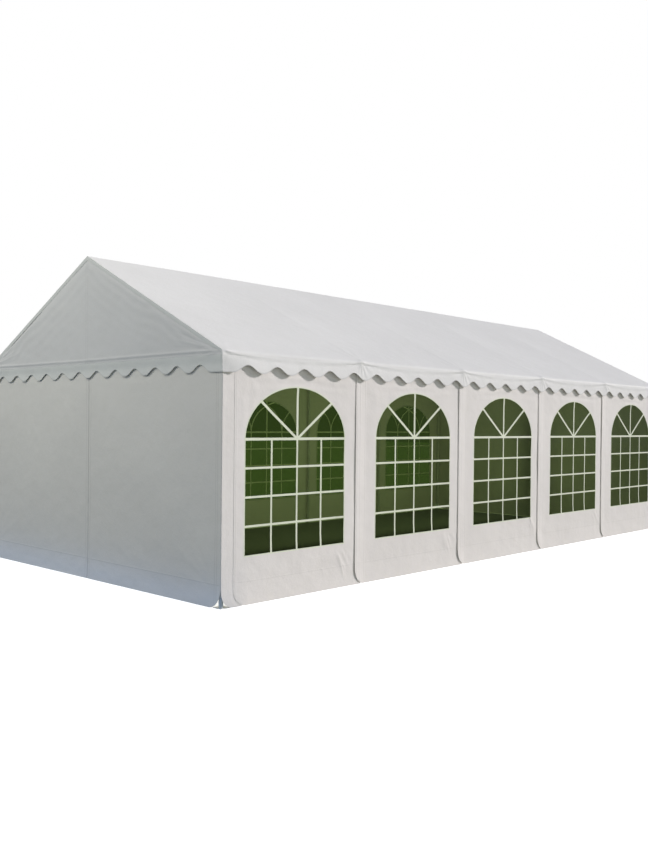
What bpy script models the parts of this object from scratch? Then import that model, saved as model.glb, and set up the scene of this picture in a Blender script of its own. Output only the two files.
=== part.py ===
"""Marquee tent: a steel tube frame under a white sheet cover, with five bays.

Each long side has five wall panels, each with a round-headed window of clear film.
Each gable has two wall halves that meet on a centre line and wrap round the corners.
Units are metres, +Z is up and +X runs along the tent. The origin is on the ground,
under the middle of the tent. Pieces that touch keep a gap of 0.3 mm.
"""

import math

import bmesh
import bpy
from mathutils import Matrix, Vector

# Overall sizes
BAYS = 5
BAY = 2.0
LENGTH = BAYS * BAY
WIDTH = 5.0
EAVE_HEIGHT = 2.58
RIDGE_HEIGHT = 3.80
SHEET = 0.004
GAP = 0.0003
HALF_LENGTH = LENGTH / 2
HALF_WIDTH = WIDTH / 2

# Cover: it stands proud of the walls all round
COVER_STAND = 0.035
COVER_X = HALF_LENGTH + COVER_STAND
COVER_Y = HALF_WIDTH + COVER_STAND
EAVE_ROLL = 0.03
EAVE_STEPS = 5
COVER_BOTTOM = 2.53
SLOPE = math.atan2(RIDGE_HEIGHT - EAVE_HEIGHT, COVER_Y)

# Valance: a wave of lobes below the cover's edge
VALANCE_NOTCH = 0.14
VALANCE_LOBE = 0.22
VALANCE_CORNER = 0.02
LOBE_PITCH = 0.392
SIDE_NOTCHES = 25
GABLE_NOTCHES = 12
LOBE_STEPS = 6
WAVE_POWER = 1.25
RING_LENGTH = 4 * (COVER_X + COVER_Y)

# Tube frame
TUBE_R = 0.024
SOCKET_R = 0.028
BRANCH_R = 0.0278
RAIL_END = 0.004
SOCKET_REACH = 0.12
TUBE_SIDES = 12
POST_INSET = SHEET + GAP + SOCKET_R
POST_X = HALF_LENGTH - POST_INSET
POST_Y = HALF_WIDTH - POST_INSET
RIDGE_AXIS_Z = RIDGE_HEIGHT - POST_INSET / math.cos(SLOPE)
EAVE_AXIS_Z = RIDGE_AXIS_Z - POST_Y * math.tan(SLOPE)
PLATE_SIZE = 0.12
PLATE_THICKNESS = 0.006
PLATE_OUTER = 0.027

# Walls
WALL_TOP = 2.57
WRAP = 0.19
WRAP_CORNER_R = 0.024
CORNER_STEPS = 4
SKIRT_NOTCH_R = 0.08
SKIRT_NOTCH_HALF = 0.004
SKIRT_NOTCH_TOP = 0.105
LAP_END = 0.04
LAP_START = -0.06
END_LAP = 0.157
END_LAP_OVER = WRAP - END_LAP
HEM_R = 0.20
END_HEM_R = 0.12
HEM_STEPS = 6

# Free edges of the side panels: distance from the edge, and how far it stands out
FREE_LAP = [(0.0, 0.022), (0.05, 0.015), (0.10, 0.008), (0.18, 0.0)]
END_LAP_OUT = [(0.0, 0.006), (END_LAP_OVER, SHEET + GAP), (0.058, 0.0)]

# Windows, measured from the bay line at a panel's left
WINDOW_LEFT = 0.30
WINDOW_WIDTH = 1.456
WINDOW_SILL = 0.50
WINDOW_SPRING = 1.69
WINDOW_RISE = 0.55
ARCH_STEPS = 20
FILM_LAP = 0.015
FILM_THICKNESS = 0.002

SHARP_ANGLE = math.radians(35)

WHITE_SHEET = ("white_sheet", (0.80, 0.79, 0.79, 1.0), 0.45, 0.0)
CLEAR_FILM = ("clear_film", (0.16, 0.22, 0.10, 1.0), 0.10, 0.0)
STEEL = ("galvanised_steel", (0.55, 0.56, 0.57, 1.0), 0.38, 0.9)


def clear_scene():
    """Remove the objects that the file opens with."""
    for obj in list(bpy.data.objects):
        bpy.data.objects.remove(obj, do_unlink=True)


def make_material(spec, name):
    """One Principled material for one object."""
    _, colour, roughness, metallic = spec
    mat = bpy.data.materials.new(name)
    mat.use_nodes = True
    shader = mat.node_tree.nodes["Principled BSDF"]
    shader.inputs["Base Color"].default_value = colour
    shader.inputs["Roughness"].default_value = roughness
    shader.inputs["Metallic"].default_value = metallic
    mat.diffuse_color = colour
    return mat


def add_object(name, bm, spec):
    """Turn a bmesh into a named object with its own material."""
    mesh = bpy.data.meshes.new(name)
    bm.to_mesh(mesh)
    bm.free()
    mesh.shade_smooth()
    mesh.set_sharp_from_angle(angle=SHARP_ANGLE)
    obj = bpy.data.objects.new(name, mesh)
    obj.data.materials.append(make_material(spec, name + "_" + spec[0]))
    bpy.context.scene.collection.objects.link(obj)
    return obj


def fill_outline(outline, hole=None):
    """A flat face in the XZ plane from an outline, with a hole in it or not."""
    bm = bmesh.new()
    edges = []
    for loop in (outline, hole):
        if loop is None:
            continue
        verts = [bm.verts.new((s, 0.0, z)) for s, z in loop]
        for a, b in zip(verts, verts[1:] + verts[:1]):
            edges.append(bm.edges.new((a, b)))
    bmesh.ops.triangle_fill(bm, use_beauty=True, use_dissolve=False, edges=edges)
    return bm


def cut_at(bm, places):
    """Cut a flat sheet across, so that it can bend at these places."""
    for s in places:
        geometry = bm.verts[:] + bm.edges[:] + bm.faces[:]
        bmesh.ops.bisect_plane(bm, geom=geometry, dist=1e-6, plane_co=(s, 0, 0), plane_no=(1, 0, 0))


def point_outwards(bm):
    """Make every face of a sheet look away from the tent's middle, at eave height."""
    middle = Vector((0.0, 0.0, COVER_BOTTOM))
    for face in bm.faces:
        face.normal_update()
        if face.normal.dot(face.calc_center_median() - middle) < 0:
            face.normal_flip()


def thicken(obj, thickness=SHEET):
    """Give a sheet its thickness, inwards from its outer face."""
    mod = obj.modifiers.new("thickness", "SOLIDIFY")
    mod.thickness = thickness
    mod.offset = -1.0
    mod.use_even_offset = True
    mod.use_quality_normals = True
    return mod


def arc(centre, radius, start, end, steps):
    """Points of an arc in a plane, angles in degrees."""
    points = []
    for i in range(steps + 1):
        angle = math.radians(start + (end - start) * i / steps)
        points.append((centre[0] + radius * math.cos(angle), centre[1] + radius * math.sin(angle)))
    return points


def along(start, direction, length):
    """The point at a distance from start in a direction."""
    return Vector(start) + Vector(direction).normalized() * length


def tube(start, end, radius):
    """A round tube between two points, as a bmesh of its outer shape."""
    start = Vector(start)
    end = Vector(end)
    axis = end - start
    bm = bmesh.new()
    turn = axis.to_track_quat("Z", "Y").to_matrix().to_4x4()
    place = Matrix.Translation((start + end) / 2) @ turn
    bmesh.ops.create_cone(
        bm, cap_ends=True, segments=TUBE_SIDES, radius1=radius, radius2=radius,
        depth=axis.length, matrix=place,
    )
    return bm


def box(low, high):
    """A box from its lowest and highest corners, as a bmesh."""
    bm = bmesh.new()
    bmesh.ops.create_cube(bm, size=1.0)
    size = [b - a for a, b in zip(low, high)]
    centre = [(a + b) / 2 for a, b in zip(low, high)]
    bmesh.ops.scale(bm, vec=size, verts=bm.verts)
    bmesh.ops.translate(bm, vec=centre, verts=bm.verts)
    return bm


def weld_on(obj, helpers):
    """Unite an object with helper solids, which stay hidden in a collection."""
    group = bpy.data.collections.new(obj.name + "_sockets")
    bpy.context.scene.collection.children.link(group)
    for i, bm in enumerate(helpers):
        mesh = bpy.data.meshes.new(f"{obj.name}_socket_{i}")
        bm.to_mesh(mesh)
        bm.free()
        helper = bpy.data.objects.new(mesh.name, mesh)
        helper.hide_render = True
        helper.display_type = "WIRE"
        group.objects.link(helper)
    mod = obj.modifiers.new("sockets", "BOOLEAN")
    mod.operation = "UNION"
    mod.solver = "EXACT"
    mod.operand_type = "COLLECTION"
    mod.collection = group


def frame_places():
    """The places along X of the six frames."""
    inner = [-HALF_LENGTH + BAY * i for i in range(1, BAYS)]
    return [-POST_X] + inner + [POST_X]


def stepped_rail(name, y, z, branches):
    """A rail along X: thin tubes with a thicker socket at every frame, and its branch sockets."""
    bm = bmesh.new()
    end = POST_X + RAIL_END
    stations = [(-end, SOCKET_R)]
    for x in frame_places():
        left = max(x - SOCKET_REACH, -end)
        right = min(x + SOCKET_REACH, end)
        if left > -end:
            stations += [(left, TUBE_R), (left, SOCKET_R)]
        if right < end:
            stations += [(right, SOCKET_R), (right, TUBE_R)]
    stations.append((end, SOCKET_R))
    rings = []
    for x, radius in stations:
        ring = []
        for i in range(TUBE_SIDES):
            angle = 2 * math.pi * i / TUBE_SIDES
            ring.append(bm.verts.new((x, y + radius * math.sin(angle), z + radius * math.cos(angle))))
        rings.append(ring)
    for a, b in zip(rings, rings[1:]):
        for i in range(TUBE_SIDES):
            j = (i + 1) % TUBE_SIDES
            bm.faces.new((a[i], a[j], b[j], b[i]))
    bm.faces.new(rings[0])
    bm.faces.new(rings[-1])
    bmesh.ops.recalc_face_normals(bm, faces=bm.faces)
    rail = add_object(name, bm, STEEL)
    helpers = []
    for x in frame_places():
        for direction in branches(x):
            start = Vector((x, y, z))
            helpers.append(tube(start, along(start, direction, SOCKET_REACH), BRANCH_R))
    weld_on(rail, helpers)
    return rail


def slope_direction(side):
    """Unit vector that climbs the slope from the eave on this side, -1 front and 1 rear."""
    return Vector((0.0, -side * math.cos(SLOPE), math.sin(SLOPE)))


def make_eave_rail(name, side):
    def branches(x):
        found = [Vector((0, 0, -1)), slope_direction(side)]
        if abs(x) == POST_X:
            found.append(Vector((0, -side, 0)))
        return found

    stepped_rail(name, side * POST_Y, EAVE_AXIS_Z, branches)


def make_ridge_rail():
    def branches(x):
        return [-slope_direction(-1), -slope_direction(1)]

    stepped_rail("ridge_rail", 0.0, RIDGE_AXIS_Z, branches)


def make_post(name, x, side):
    """A post on its foot plate, which reaches inwards from the wall."""
    y = side * POST_Y
    toward = -1 if x > 0 else 1
    if abs(x) == POST_X:
        x_low, x_high = sorted((x - toward * PLATE_OUTER, x + toward * (PLATE_SIZE - PLATE_OUTER)))
    else:
        x_low, x_high = x - PLATE_SIZE / 2, x + PLATE_SIZE / 2
    y_low, y_high = sorted((y + side * PLATE_OUTER, y - side * (PLATE_SIZE - PLATE_OUTER)))
    plate = box((x_low, y_low, 0.0), (x_high, y_high, PLATE_THICKNESS))
    post = add_object(name, plate, STEEL)
    top = EAVE_AXIS_Z - SOCKET_REACH - GAP
    weld_on(post, [tube((x, y, PLATE_THICKNESS / 2), (x, y, top), TUBE_R)])


def make_rafter(name, x, side):
    """A rafter between its eave socket and its ridge socket."""
    climb = slope_direction(side)
    low = along((x, side * POST_Y, EAVE_AXIS_Z), climb, SOCKET_REACH + GAP)
    high = along((x, 0.0, RIDGE_AXIS_Z), -climb, SOCKET_REACH + GAP)
    add_object(name, tube(low, high, TUBE_R), STEEL)


def make_gable_tie(name, end):
    reach = POST_Y - SOCKET_REACH - GAP
    x = end * POST_X
    add_object(name, tube((x, -reach, EAVE_AXIS_Z), (x, reach, EAVE_AXIS_Z), TUBE_R), STEEL)


def cover_section(inset):
    """The roof's section from the front edge over the ridge to the rear edge, as (y, z)."""
    radius = EAVE_ROLL - inset
    eave_line = RIDGE_HEIGHT - inset / math.cos(SLOPE)
    centre_y = COVER_Y - EAVE_ROLL
    centre_z = RIDGE_HEIGHT - EAVE_ROLL / math.cos(SLOPE) - centre_y * math.tan(SLOPE)
    rear = arc((centre_y, centre_z), radius, 90 - math.degrees(SLOPE), 0, EAVE_STEPS)
    rear.append((COVER_Y - inset, COVER_BOTTOM))
    front = [(-y, z) for y, z in reversed(rear)]
    return front + [(0.0, eave_line)] + rear


def make_roof_cover():
    """Two slopes of one sheet with rolled eaves, from gable to gable."""
    bm = bmesh.new()
    section = cover_section(0.0)
    rows = []
    for y, z in section:
        rows.append((bm.verts.new((-COVER_X, y, z)), bm.verts.new((COVER_X, y, z))))
    for (a, b), (c, d) in zip(rows, rows[1:]):
        bm.faces.new((a, b, d, c))
    point_outwards(bm)
    thicken(add_object("roof_cover", bm, WHITE_SHEET))


def make_gable_top(name, end):
    """The triangle of sheet that closes the roof's end, tucked under the cover's edge."""
    outline = cover_section(SHEET + GAP)
    bm = fill_outline(outline)
    for vert in bm.verts:
        vert.co = (end * COVER_X, vert.co.x, vert.co.z)
    point_outwards(bm)
    thicken(add_object(name, bm, WHITE_SHEET))


def ring_point(s):
    """Point on the valance's outer face at distance s from the front left corner."""
    normals = [(0, -1), (1, 0), (0, 1), (-1, 0)]
    lengths = [2 * COVER_X, 2 * COVER_Y] * 2
    side = 0
    while s > lengths[side]:
        s -= lengths[side]
        side += 1
    normal = Vector(normals[side])
    onward = Vector((-normal.y, normal.x))
    start = Vector((COVER_X * (normal.x - onward.x), COVER_Y * (normal.y - onward.y)))
    if VALANCE_CORNER <= s <= lengths[side] - VALANCE_CORNER:
        return start + onward * s
    if s < VALANCE_CORNER:
        centre = start + (onward - normal) * VALANCE_CORNER
        angle = math.radians(45) * (s / VALANCE_CORNER - 1)
    else:
        centre = start + onward * (lengths[side] - VALANCE_CORNER) - normal * VALANCE_CORNER
        angle = math.radians(45) * (1 - (lengths[side] - s) / VALANCE_CORNER)
    return centre + (normal * math.cos(angle) + onward * math.sin(angle)) * VALANCE_CORNER


def centred_notches(middle, count):
    """Distances of a row of notches, one pitch apart, about its middle."""
    return [middle + LOBE_PITCH * (i - (count - 1) / 2) for i in range(count)]


def valance_notches():
    """Distances of the notches round the valance, from the front left corner."""
    side = centred_notches(COVER_X, SIDE_NOTCHES)
    gable = centred_notches(2 * COVER_X + COVER_Y, GABLE_NOTCHES)
    half_way = 2 * (COVER_X + COVER_Y)
    return side + gable + [half_way + s for s in side + gable]


def valance_depth(s, notches):
    """Depth of the valance's lower edge under the eave height, at distance s round it."""
    nearest = min(min(abs(s - n), RING_LENGTH - abs(s - n)) for n in notches)
    share = min(nearest / (LOBE_PITCH / 2), 1.0)
    wave = (0.5 + 0.5 * math.cos(math.pi * share)) ** WAVE_POWER
    return VALANCE_LOBE + (VALANCE_NOTCH - VALANCE_LOBE) * wave


def valance_places(notches):
    """Distances round the valance at which its edge gets a point."""
    step = LOBE_PITCH / LOBE_STEPS
    half = LOBE_STEPS // 2
    places = [n + i * step for n in notches for i in range(-half, half + 1)]
    for corner in (0.0, 2 * COVER_X, RING_LENGTH / 2, RING_LENGTH / 2 + 2 * COVER_X):
        places += [corner + VALANCE_CORNER * share for share in (-1, -1 / 3, 1 / 3, 1)]
    return sorted({round(s % RING_LENGTH, 4) for s in places})


def make_valance():
    """The scalloped band round the tent, one closed ring."""
    notches = valance_notches()
    bm = bmesh.new()
    pairs = []
    for s in valance_places(notches):
        x, y = ring_point(s)
        low = EAVE_HEIGHT - valance_depth(s, notches)
        pairs.append((bm.verts.new((x, y, COVER_BOTTOM - GAP)), bm.verts.new((x, y, low))))
    for (a, b), (c, d) in zip(pairs, pairs[1:] + pairs[:1]):
        bm.faces.new((a, b, d, c))
    point_outwards(bm)
    thicken(add_object("valance", bm, WHITE_SHEET))


def make_gable_half(name, end, side):
    """Half of a gable wall, which wraps round the corner post onto the long side."""
    straight = HALF_WIDTH - WRAP_CORNER_R - GAP
    turn = WRAP_CORNER_R * math.pi / 2
    tail = WRAP - WRAP_CORNER_R
    corner = straight + turn / 2
    total = straight + turn + tail
    reach = SKIRT_NOTCH_HALF + SKIRT_NOTCH_R
    left = arc((corner - reach, SKIRT_NOTCH_R), SKIRT_NOTCH_R, -90, 0, HEM_STEPS)
    right = arc((corner + reach, SKIRT_NOTCH_R), SKIRT_NOTCH_R, 180, 270, HEM_STEPS)
    peak = [(corner, SKIRT_NOTCH_TOP)]
    outline = [(0.0, 0.0)] + left + peak + right + [(total, 0.0), (total, WALL_TOP), (0.0, WALL_TOP)]
    bm = fill_outline(outline)
    cut_at(bm, [straight + turn * i / CORNER_STEPS for i in range(CORNER_STEPS + 1)])
    for vert in bm.verts:
        s = vert.co.x
        if s <= straight:
            x, y = HALF_LENGTH, GAP + s
        elif s <= straight + turn:
            angle = (s - straight) / WRAP_CORNER_R
            x = HALF_LENGTH - WRAP_CORNER_R + WRAP_CORNER_R * math.cos(angle)
            y = HALF_WIDTH - WRAP_CORNER_R + WRAP_CORNER_R * math.sin(angle)
        else:
            x = HALF_LENGTH - WRAP_CORNER_R - (s - straight - turn)
            y = HALF_WIDTH
        vert.co = (end * x, side * y, vert.co.z)
    point_outwards(bm)
    thicken(add_object(name, bm, WHITE_SHEET))


def window_outline(left, margin=0.0):
    """Round-headed window outline as (x, z): an upright rectangle under half an ellipse."""
    centre = left + WINDOW_WIDTH / 2
    half = WINDOW_WIDTH / 2 + margin
    sill = WINDOW_SILL - margin
    points = [(centre - half, sill), (centre + half, sill)]
    for i in range(ARCH_STEPS + 1):
        angle = math.pi * i / ARCH_STEPS
        x = centre + half * math.cos(angle)
        z = WINDOW_SPRING + (WINDOW_RISE + margin) * math.sin(angle)
        points.append((x, z))
    return points


def lap_height(distance, profile):
    """How far a free edge stands out, at a distance from it."""
    for (d0, h0), (d1, h1) in zip(profile, profile[1:]):
        if distance <= d1:
            return h0 + (h1 - h0) * max(distance - d0, 0.0) / (d1 - d0)
    return 0.0


def make_side_panel(name, film_name, bay, side):
    """A wall panel of one bay with its window cut through, and the film behind the hole."""
    first = bay == 0
    last = bay == BAYS - 1
    bay_line = -HALF_LENGTH + BAY * bay
    left = bay_line + (END_LAP if first else LAP_START)
    right = bay_line + BAY + (-END_LAP if last else LAP_END)
    radius = END_HEM_R if first else HEM_R
    hem = arc((left + radius, radius), radius, 270, 180, HEM_STEPS)
    outline = hem[::-1] + [(right, 0.0), (right, WALL_TOP), (left, WALL_TOP)]
    window_left = bay_line + WINDOW_LEFT
    bm = fill_outline(outline, window_outline(window_left))
    left_profile = END_LAP_OUT if first else FREE_LAP
    folds = [left + d for d, _ in left_profile[1:]]
    if last:
        folds += [right - d for d, _ in END_LAP_OUT[1:]]
    cut_at(bm, folds)
    for vert in bm.verts:
        x, _, z = vert.co
        out = lap_height(x - left, left_profile)
        if last:
            out = max(out, lap_height(right - x, END_LAP_OUT))
        vert.co = place_on_side(x, out, z, side)
    point_outwards(bm)
    thicken(add_object(name, bm, WHITE_SHEET))

    film = fill_outline(window_outline(window_left, FILM_LAP))
    for vert in film.verts:
        vert.co = place_on_side(vert.co.x, -SHEET - GAP, vert.co.z, side)
    point_outwards(film)
    thicken(add_object(film_name, film, CLEAR_FILM), FILM_THICKNESS)


def place_on_side(x, out, z, side):
    """A point of the front wall, or its copy half a turn round on the rear wall."""
    if side < 0:
        return (x, -HALF_WIDTH - out, z)
    return (-x, HALF_WIDTH + out, z)


def main():
    clear_scene()
    for side, side_name in ((-1, "front"), (1, "rear")):
        for i, x in enumerate(frame_places(), start=1):
            make_post(f"{side_name}_post_{i}", x, side)
            make_rafter(f"{side_name}_rafter_{i}", x, side)
        make_eave_rail(f"{side_name}_eave_rail", side)
        for bay in range(BAYS):
            make_side_panel(f"{side_name}_panel_{bay + 1}", f"{side_name}_window_{bay + 1}", bay, side)
    make_ridge_rail()
    for end, end_name in ((-1, "left"), (1, "right")):
        make_gable_tie(f"{end_name}_gable_tie", end)
        make_gable_top(f"{end_name}_gable_top", end)
        make_gable_half(f"{end_name}_gable_wall_front", end, -1)
        make_gable_half(f"{end_name}_gable_wall_rear", end, 1)
    make_roof_cover()
    make_valance()


main()
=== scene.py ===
"""Marquee tent: its finished sheets, windows and frame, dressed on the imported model.

Each operator makes one piece, or one group of like pieces, in metres, +Z up.
A wall or band is first laid out flat, as the distance along it, its height, and how far
it stands out, and is then placed on its side of the tent. Along always runs to the
right, as seen from outside.
"""

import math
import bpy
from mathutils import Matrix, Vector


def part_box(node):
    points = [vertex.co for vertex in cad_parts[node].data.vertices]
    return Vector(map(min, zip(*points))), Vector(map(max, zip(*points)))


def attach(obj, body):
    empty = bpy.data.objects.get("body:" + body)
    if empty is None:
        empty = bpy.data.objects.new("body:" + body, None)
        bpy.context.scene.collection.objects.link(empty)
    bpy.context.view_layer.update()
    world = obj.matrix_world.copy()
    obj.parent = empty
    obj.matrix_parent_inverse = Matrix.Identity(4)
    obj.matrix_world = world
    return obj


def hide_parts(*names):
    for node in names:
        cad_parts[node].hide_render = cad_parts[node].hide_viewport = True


bl_info = {
    "name": "Marquee tent",
    "version": (1, 0, 0),
    "blender": (4, 5, 0),
    "location": "View3D > Sidebar > Marquee",
    "description": "Makes the sheets, windows and fittings of a marquee tent on its frame",
    "category": "Object",
}

import bmesh
import bpy
import numpy as np
from bpy.props import FloatProperty, FloatVectorProperty, IntProperty, PointerProperty
from mathutils import Matrix, Vector

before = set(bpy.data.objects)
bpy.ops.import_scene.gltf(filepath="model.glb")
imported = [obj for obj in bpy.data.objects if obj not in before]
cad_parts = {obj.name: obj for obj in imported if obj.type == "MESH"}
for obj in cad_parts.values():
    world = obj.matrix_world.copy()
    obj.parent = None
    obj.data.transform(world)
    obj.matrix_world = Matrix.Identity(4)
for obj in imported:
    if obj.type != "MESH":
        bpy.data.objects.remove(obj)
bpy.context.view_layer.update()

# Sizes read from the frame
WALL_X = -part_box("left_gable_wall_front")[0].x
WALL_Y = -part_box("left_gable_wall_front")[0].y
WALL_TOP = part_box("left_gable_wall_front")[1].z
COVER_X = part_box("roof_cover")[1].x
COVER_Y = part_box("roof_cover")[1].y
COVER_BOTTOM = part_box("roof_cover")[0].z
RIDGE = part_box("roof_cover")[1].z
BAYS = 5
BAY = 2 * WALL_X / BAYS

# How far the cover stands out from the walls, and where the frames are along the tent
STAND = COVER_Y - WALL_Y
RAFTER_BOXES = [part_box(f"front_rafter_{i}") for i in range(1, BAYS + 2)]
FRAMES = [(low.x + high.x) / 2 for low, high in RAFTER_BOXES]

# Roof
EAVE = 2.58
SLOPE = math.atan2(RIDGE - EAVE, COVER_Y)
EAVE_ROLL = 0.03
RIDGE_ROLL = 0.03
CORNER_R = 0.006

# Rows of the roof's section on the upright face over its lower edge, and round the eave roll
FACE_HEIGHTS = (0.0, 0.011, 0.021)
ROLL_POINTS = 9

# The strip that turns down over a rake. By the eave there is room for a short turn only
RAKE_STRIP = 0.045
RAKE_TURN = 0.020
RAKE_SEAM = 0.037

# Folds that climb a slope from a frame: angle, length, width and depth
SLOPE_FOLDS = ((62, 0.55, 0.034, 0.0016), (118, 0.50, 0.032, 0.0015), (90, 0.6, 0.034, 0.0014))

# The crease of the eave band: its depth below the eave at a frame, and what the bay's middle adds
BAND_CREASE = 0.020
BAND_CREASE_BOW = 0.062

# Folds that fan out below a frame's joint: angle, length, width and depth
JOINT_FOLDS = (
    (-30, 0.26, 0.014, 0.0030), (-47, 0.24, 0.012, -0.0030), (-62, 0.22, 0.010, 0.0034),
    (-76, 0.20, 0.009, -0.0030), (-90, 0.19, 0.008, 0.0030), (-118, 0.19, 0.012, 0.0024),
    (-150, 0.30, 0.016, 0.0022), (-14, 0.34, 0.014, 0.0022),
)

# Gable tops: heights of the band's rows, the welds beside the middle, and each fold's tilt and depth
BAND_ROWS = (0.0, 0.012, 0.024, 0.034, 0.042, 0.050, 0.058, 0.068, 0.082, 0.10)
GABLE_SEAM = 0.02
GABLE_SEAM_REACH = 0.008
CORNER_TILTS = ((12, 0.0024), (28, -0.0020), (-5, -0.0026), (-11, 0.0030), (-17, -0.0028), (-22, 0.0026))

# Valance: depth below the eave at a notch and at a lobe, and the length of a wave
NOTCH = 0.14
LOBE = 0.22
PITCH = 0.392
SIDE_NOTCHES = 25
GABLE_NOTCHES = 12
WAVE_POWER = 1.25
HEM_ROWS = (0.0, 0.0015, 0.0105, 0.0125)
CORNER_TUCK = 0.019
GABLE_TUCK = 0.016

# Side panels, measured from the bay line at their left. Each lap has distances and how far it stands out
LAP_START = -0.06
LAP_END = 0.04
END_LAP = 0.157
FREE_LAP = ((0.0, 0.05, 0.10, 0.18), (0.0095, 0.0072, 0.0038, 0.0))
TAIL_LAP = ((0.0, 0.120, 0.190), (0.0011, 0.0011, 0.0))
HEM_R = 0.17
END_HEM_R = 0.165
HEM_REACH = 0.30
SKIRT_SEAM = 0.24

# Upright welds of a side panel from its left edge, of the end panel, and of each from its right edge
PANEL_SEAMS = (0.030, 0.080, 0.170)
END_PANEL_SEAMS = (0.028,)
TAIL_SEAM = 0.045

# Gable walls, measured along the sheet from the closing line and round the corner
WRAP = 0.27
WRAP_R = 0.008
CLOSING_GAP = 0.0003
CLOSING_GROOVE = 0.007
WRAP_START = WALL_Y - WRAP_R - CLOSING_GAP
WRAP_TURN = WRAP_R * math.pi / 2
WRAP_CORNER = WRAP_START + WRAP_TURN / 2
WRAP_END = WRAP_START + WRAP_TURN + (WRAP - WRAP_R)
GABLE_SEAMS = (0.050, WRAP_START - 0.055, WRAP_START - 0.085)

# How deep the wrapped strip lies under a panel's hem, and under a panel whose window reaches it
STRIP_UNDER_HEM = 0.0006
STRIP_UNDER_WINDOW = 0.0036

# Folds of a gable wall that rise from its foot by the corner: angle and length
FOOT_FOLDS = ((166, 0.8), (150, 1.1), (137, 0.9), (122, 1.1), (108, 0.8))

# The rounded notch at the corner's foot: its radii on the gable and on the side, its width and top
NOTCH_R = (0.175, 0.155)
NOTCH_HALF = 0.004
NOTCH_TOP = 0.175

# Windows
FILM_LAP = 0.015
WINDOW_SPRING = 1.69
WINDOW_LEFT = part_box("front_window_2")[0].x + FILM_LAP - (-WALL_X + BAY)
WINDOW_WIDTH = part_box("front_window_2")[1].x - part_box("front_window_2")[0].x - 2 * FILM_LAP
WINDOW_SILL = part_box("front_window_2")[0].z + FILM_LAP
WINDOW_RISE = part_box("front_window_2")[1].z - FILM_LAP - WINDOW_SPRING
WINDOW_ROWS = 4
WINDOW_COLUMNS = 4
RIM_THICKNESS = 0.0036

# A rim: the share of its width by which its middle lies outside the opening, and how far it stands out
RIM_OUTSIDE = 0.30
RIM_STAND = 0.0005

# A film: how far its border lies behind the wall, and the depth and the waves of its slack middle
FILM_BEHIND = 0.0016
FILM_SLACK = 0.0055
FILM_WAVE = 0.0014

# Longest steps along a bar and along a rim
BAR_STEP = 0.045
RIM_STEP = 0.02

# Joints: height of their axis, how far it lies inside the wall, and their bolts
JOINT_HEIGHT = 2.5765
JOINT_INSIDE = 0.0323
SOCKET_R = 0.028
BOLT_REACH = 0.085
POST_BOLT_HEIGHT = 2.50

# A bolt: the share of its head's height by which the head is raised, and its washer
HEAD_RISE = 0.7
WASHER_WIDENING = 1.5
WASHER_THICKNESS = 0.003
WASHER_SIDES = 20

# Bevel of the steel's edges
EDGE_BEVEL = 0.0008

# Thickness of a coated sheet, and how close to an edge a point counts as on it
SHEET = 0.0008
TOUCH = 1e-6


class CoverSettings(bpy.types.PropertyGroup):
    """How the roof cover and its valance hang."""

    sag: FloatProperty(
        name="Sag between frames", description="Depth of a slope's sag in the middle of a bay",
        default=0.010, min=0.0, unit="LENGTH",
    )
    eave_sag: FloatProperty(
        name="Eave sag", description="How far the eave drops between two frames",
        default=0.012, min=0.0, unit="LENGTH",
    )
    joint_push: FloatProperty(
        name="Joint push", description="How far a frame's joint pushes the eave band out",
        default=0.009, min=0.0, unit="LENGTH",
    )
    colour: FloatVectorProperty(
        name="Cover colour", description="Colour of the cover's coated sheet",
        default=(0.782, 0.781, 0.790, 1.0), size=4, min=0.0, max=1.0, subtype="COLOR",
    )


class WallSettings(bpy.types.PropertyGroup):
    """How the wall sheets hang."""

    crease: FloatProperty(
        name="Crease depth", description="Depth of the soft creases in the hanging walls",
        default=0.0022, min=0.0, unit="LENGTH",
    )
    weld: FloatProperty(
        name="Weld height", description="Height of a welded seam",
        default=0.0014, min=0.0, unit="LENGTH",
    )
    colour: FloatVectorProperty(
        name="Wall colour", description="Colour of the walls' coated sheet",
        default=(0.796, 0.768, 0.760, 1.0), size=4, min=0.0, max=1.0, subtype="COLOR",
    )


class WindowSettings(bpy.types.PropertyGroup):
    """The windows' bars and film."""

    bar_width: FloatProperty(
        name="Bar width", description="Width of a white window bar",
        default=0.0225, min=0.005, unit="LENGTH",
    )
    bar_thickness: FloatProperty(
        name="Bar thickness", description="Thickness of a window bar on the film",
        default=0.0010, min=0.0005, unit="LENGTH",
    )
    rim_width: FloatProperty(
        name="Rim width", description="Width of the welded rim round a window",
        default=0.014, min=0.005, unit="LENGTH",
    )
    tint: FloatVectorProperty(
        name="Film tint", description="What the film lets through",
        default=(0.160, 0.218, 0.086, 1.0), size=4, min=0.0, max=1.0, subtype="COLOR",
    )
    bar_colour: FloatVectorProperty(
        name="Bar colour", description="Colour of the bars and the rims",
        default=(0.76, 0.80, 0.66, 1.0), size=4, min=0.0, max=1.0, subtype="COLOR",
    )


class FittingSettings(bpy.types.PropertyGroup):
    """The steel frame's fittings."""

    bolt_radius: FloatProperty(
        name="Bolt head radius", description="Radius of a joint bolt's head",
        default=0.0085, min=0.001, unit="LENGTH",
    )
    bolt_height: FloatProperty(
        name="Bolt head height", description="Height of a joint bolt's head",
        default=0.006, min=0.001, unit="LENGTH",
    )
    bolt_sides: IntProperty(
        name="Bolt head sides", description="Sides of a joint bolt's head", default=6, min=3,
    )


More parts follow.
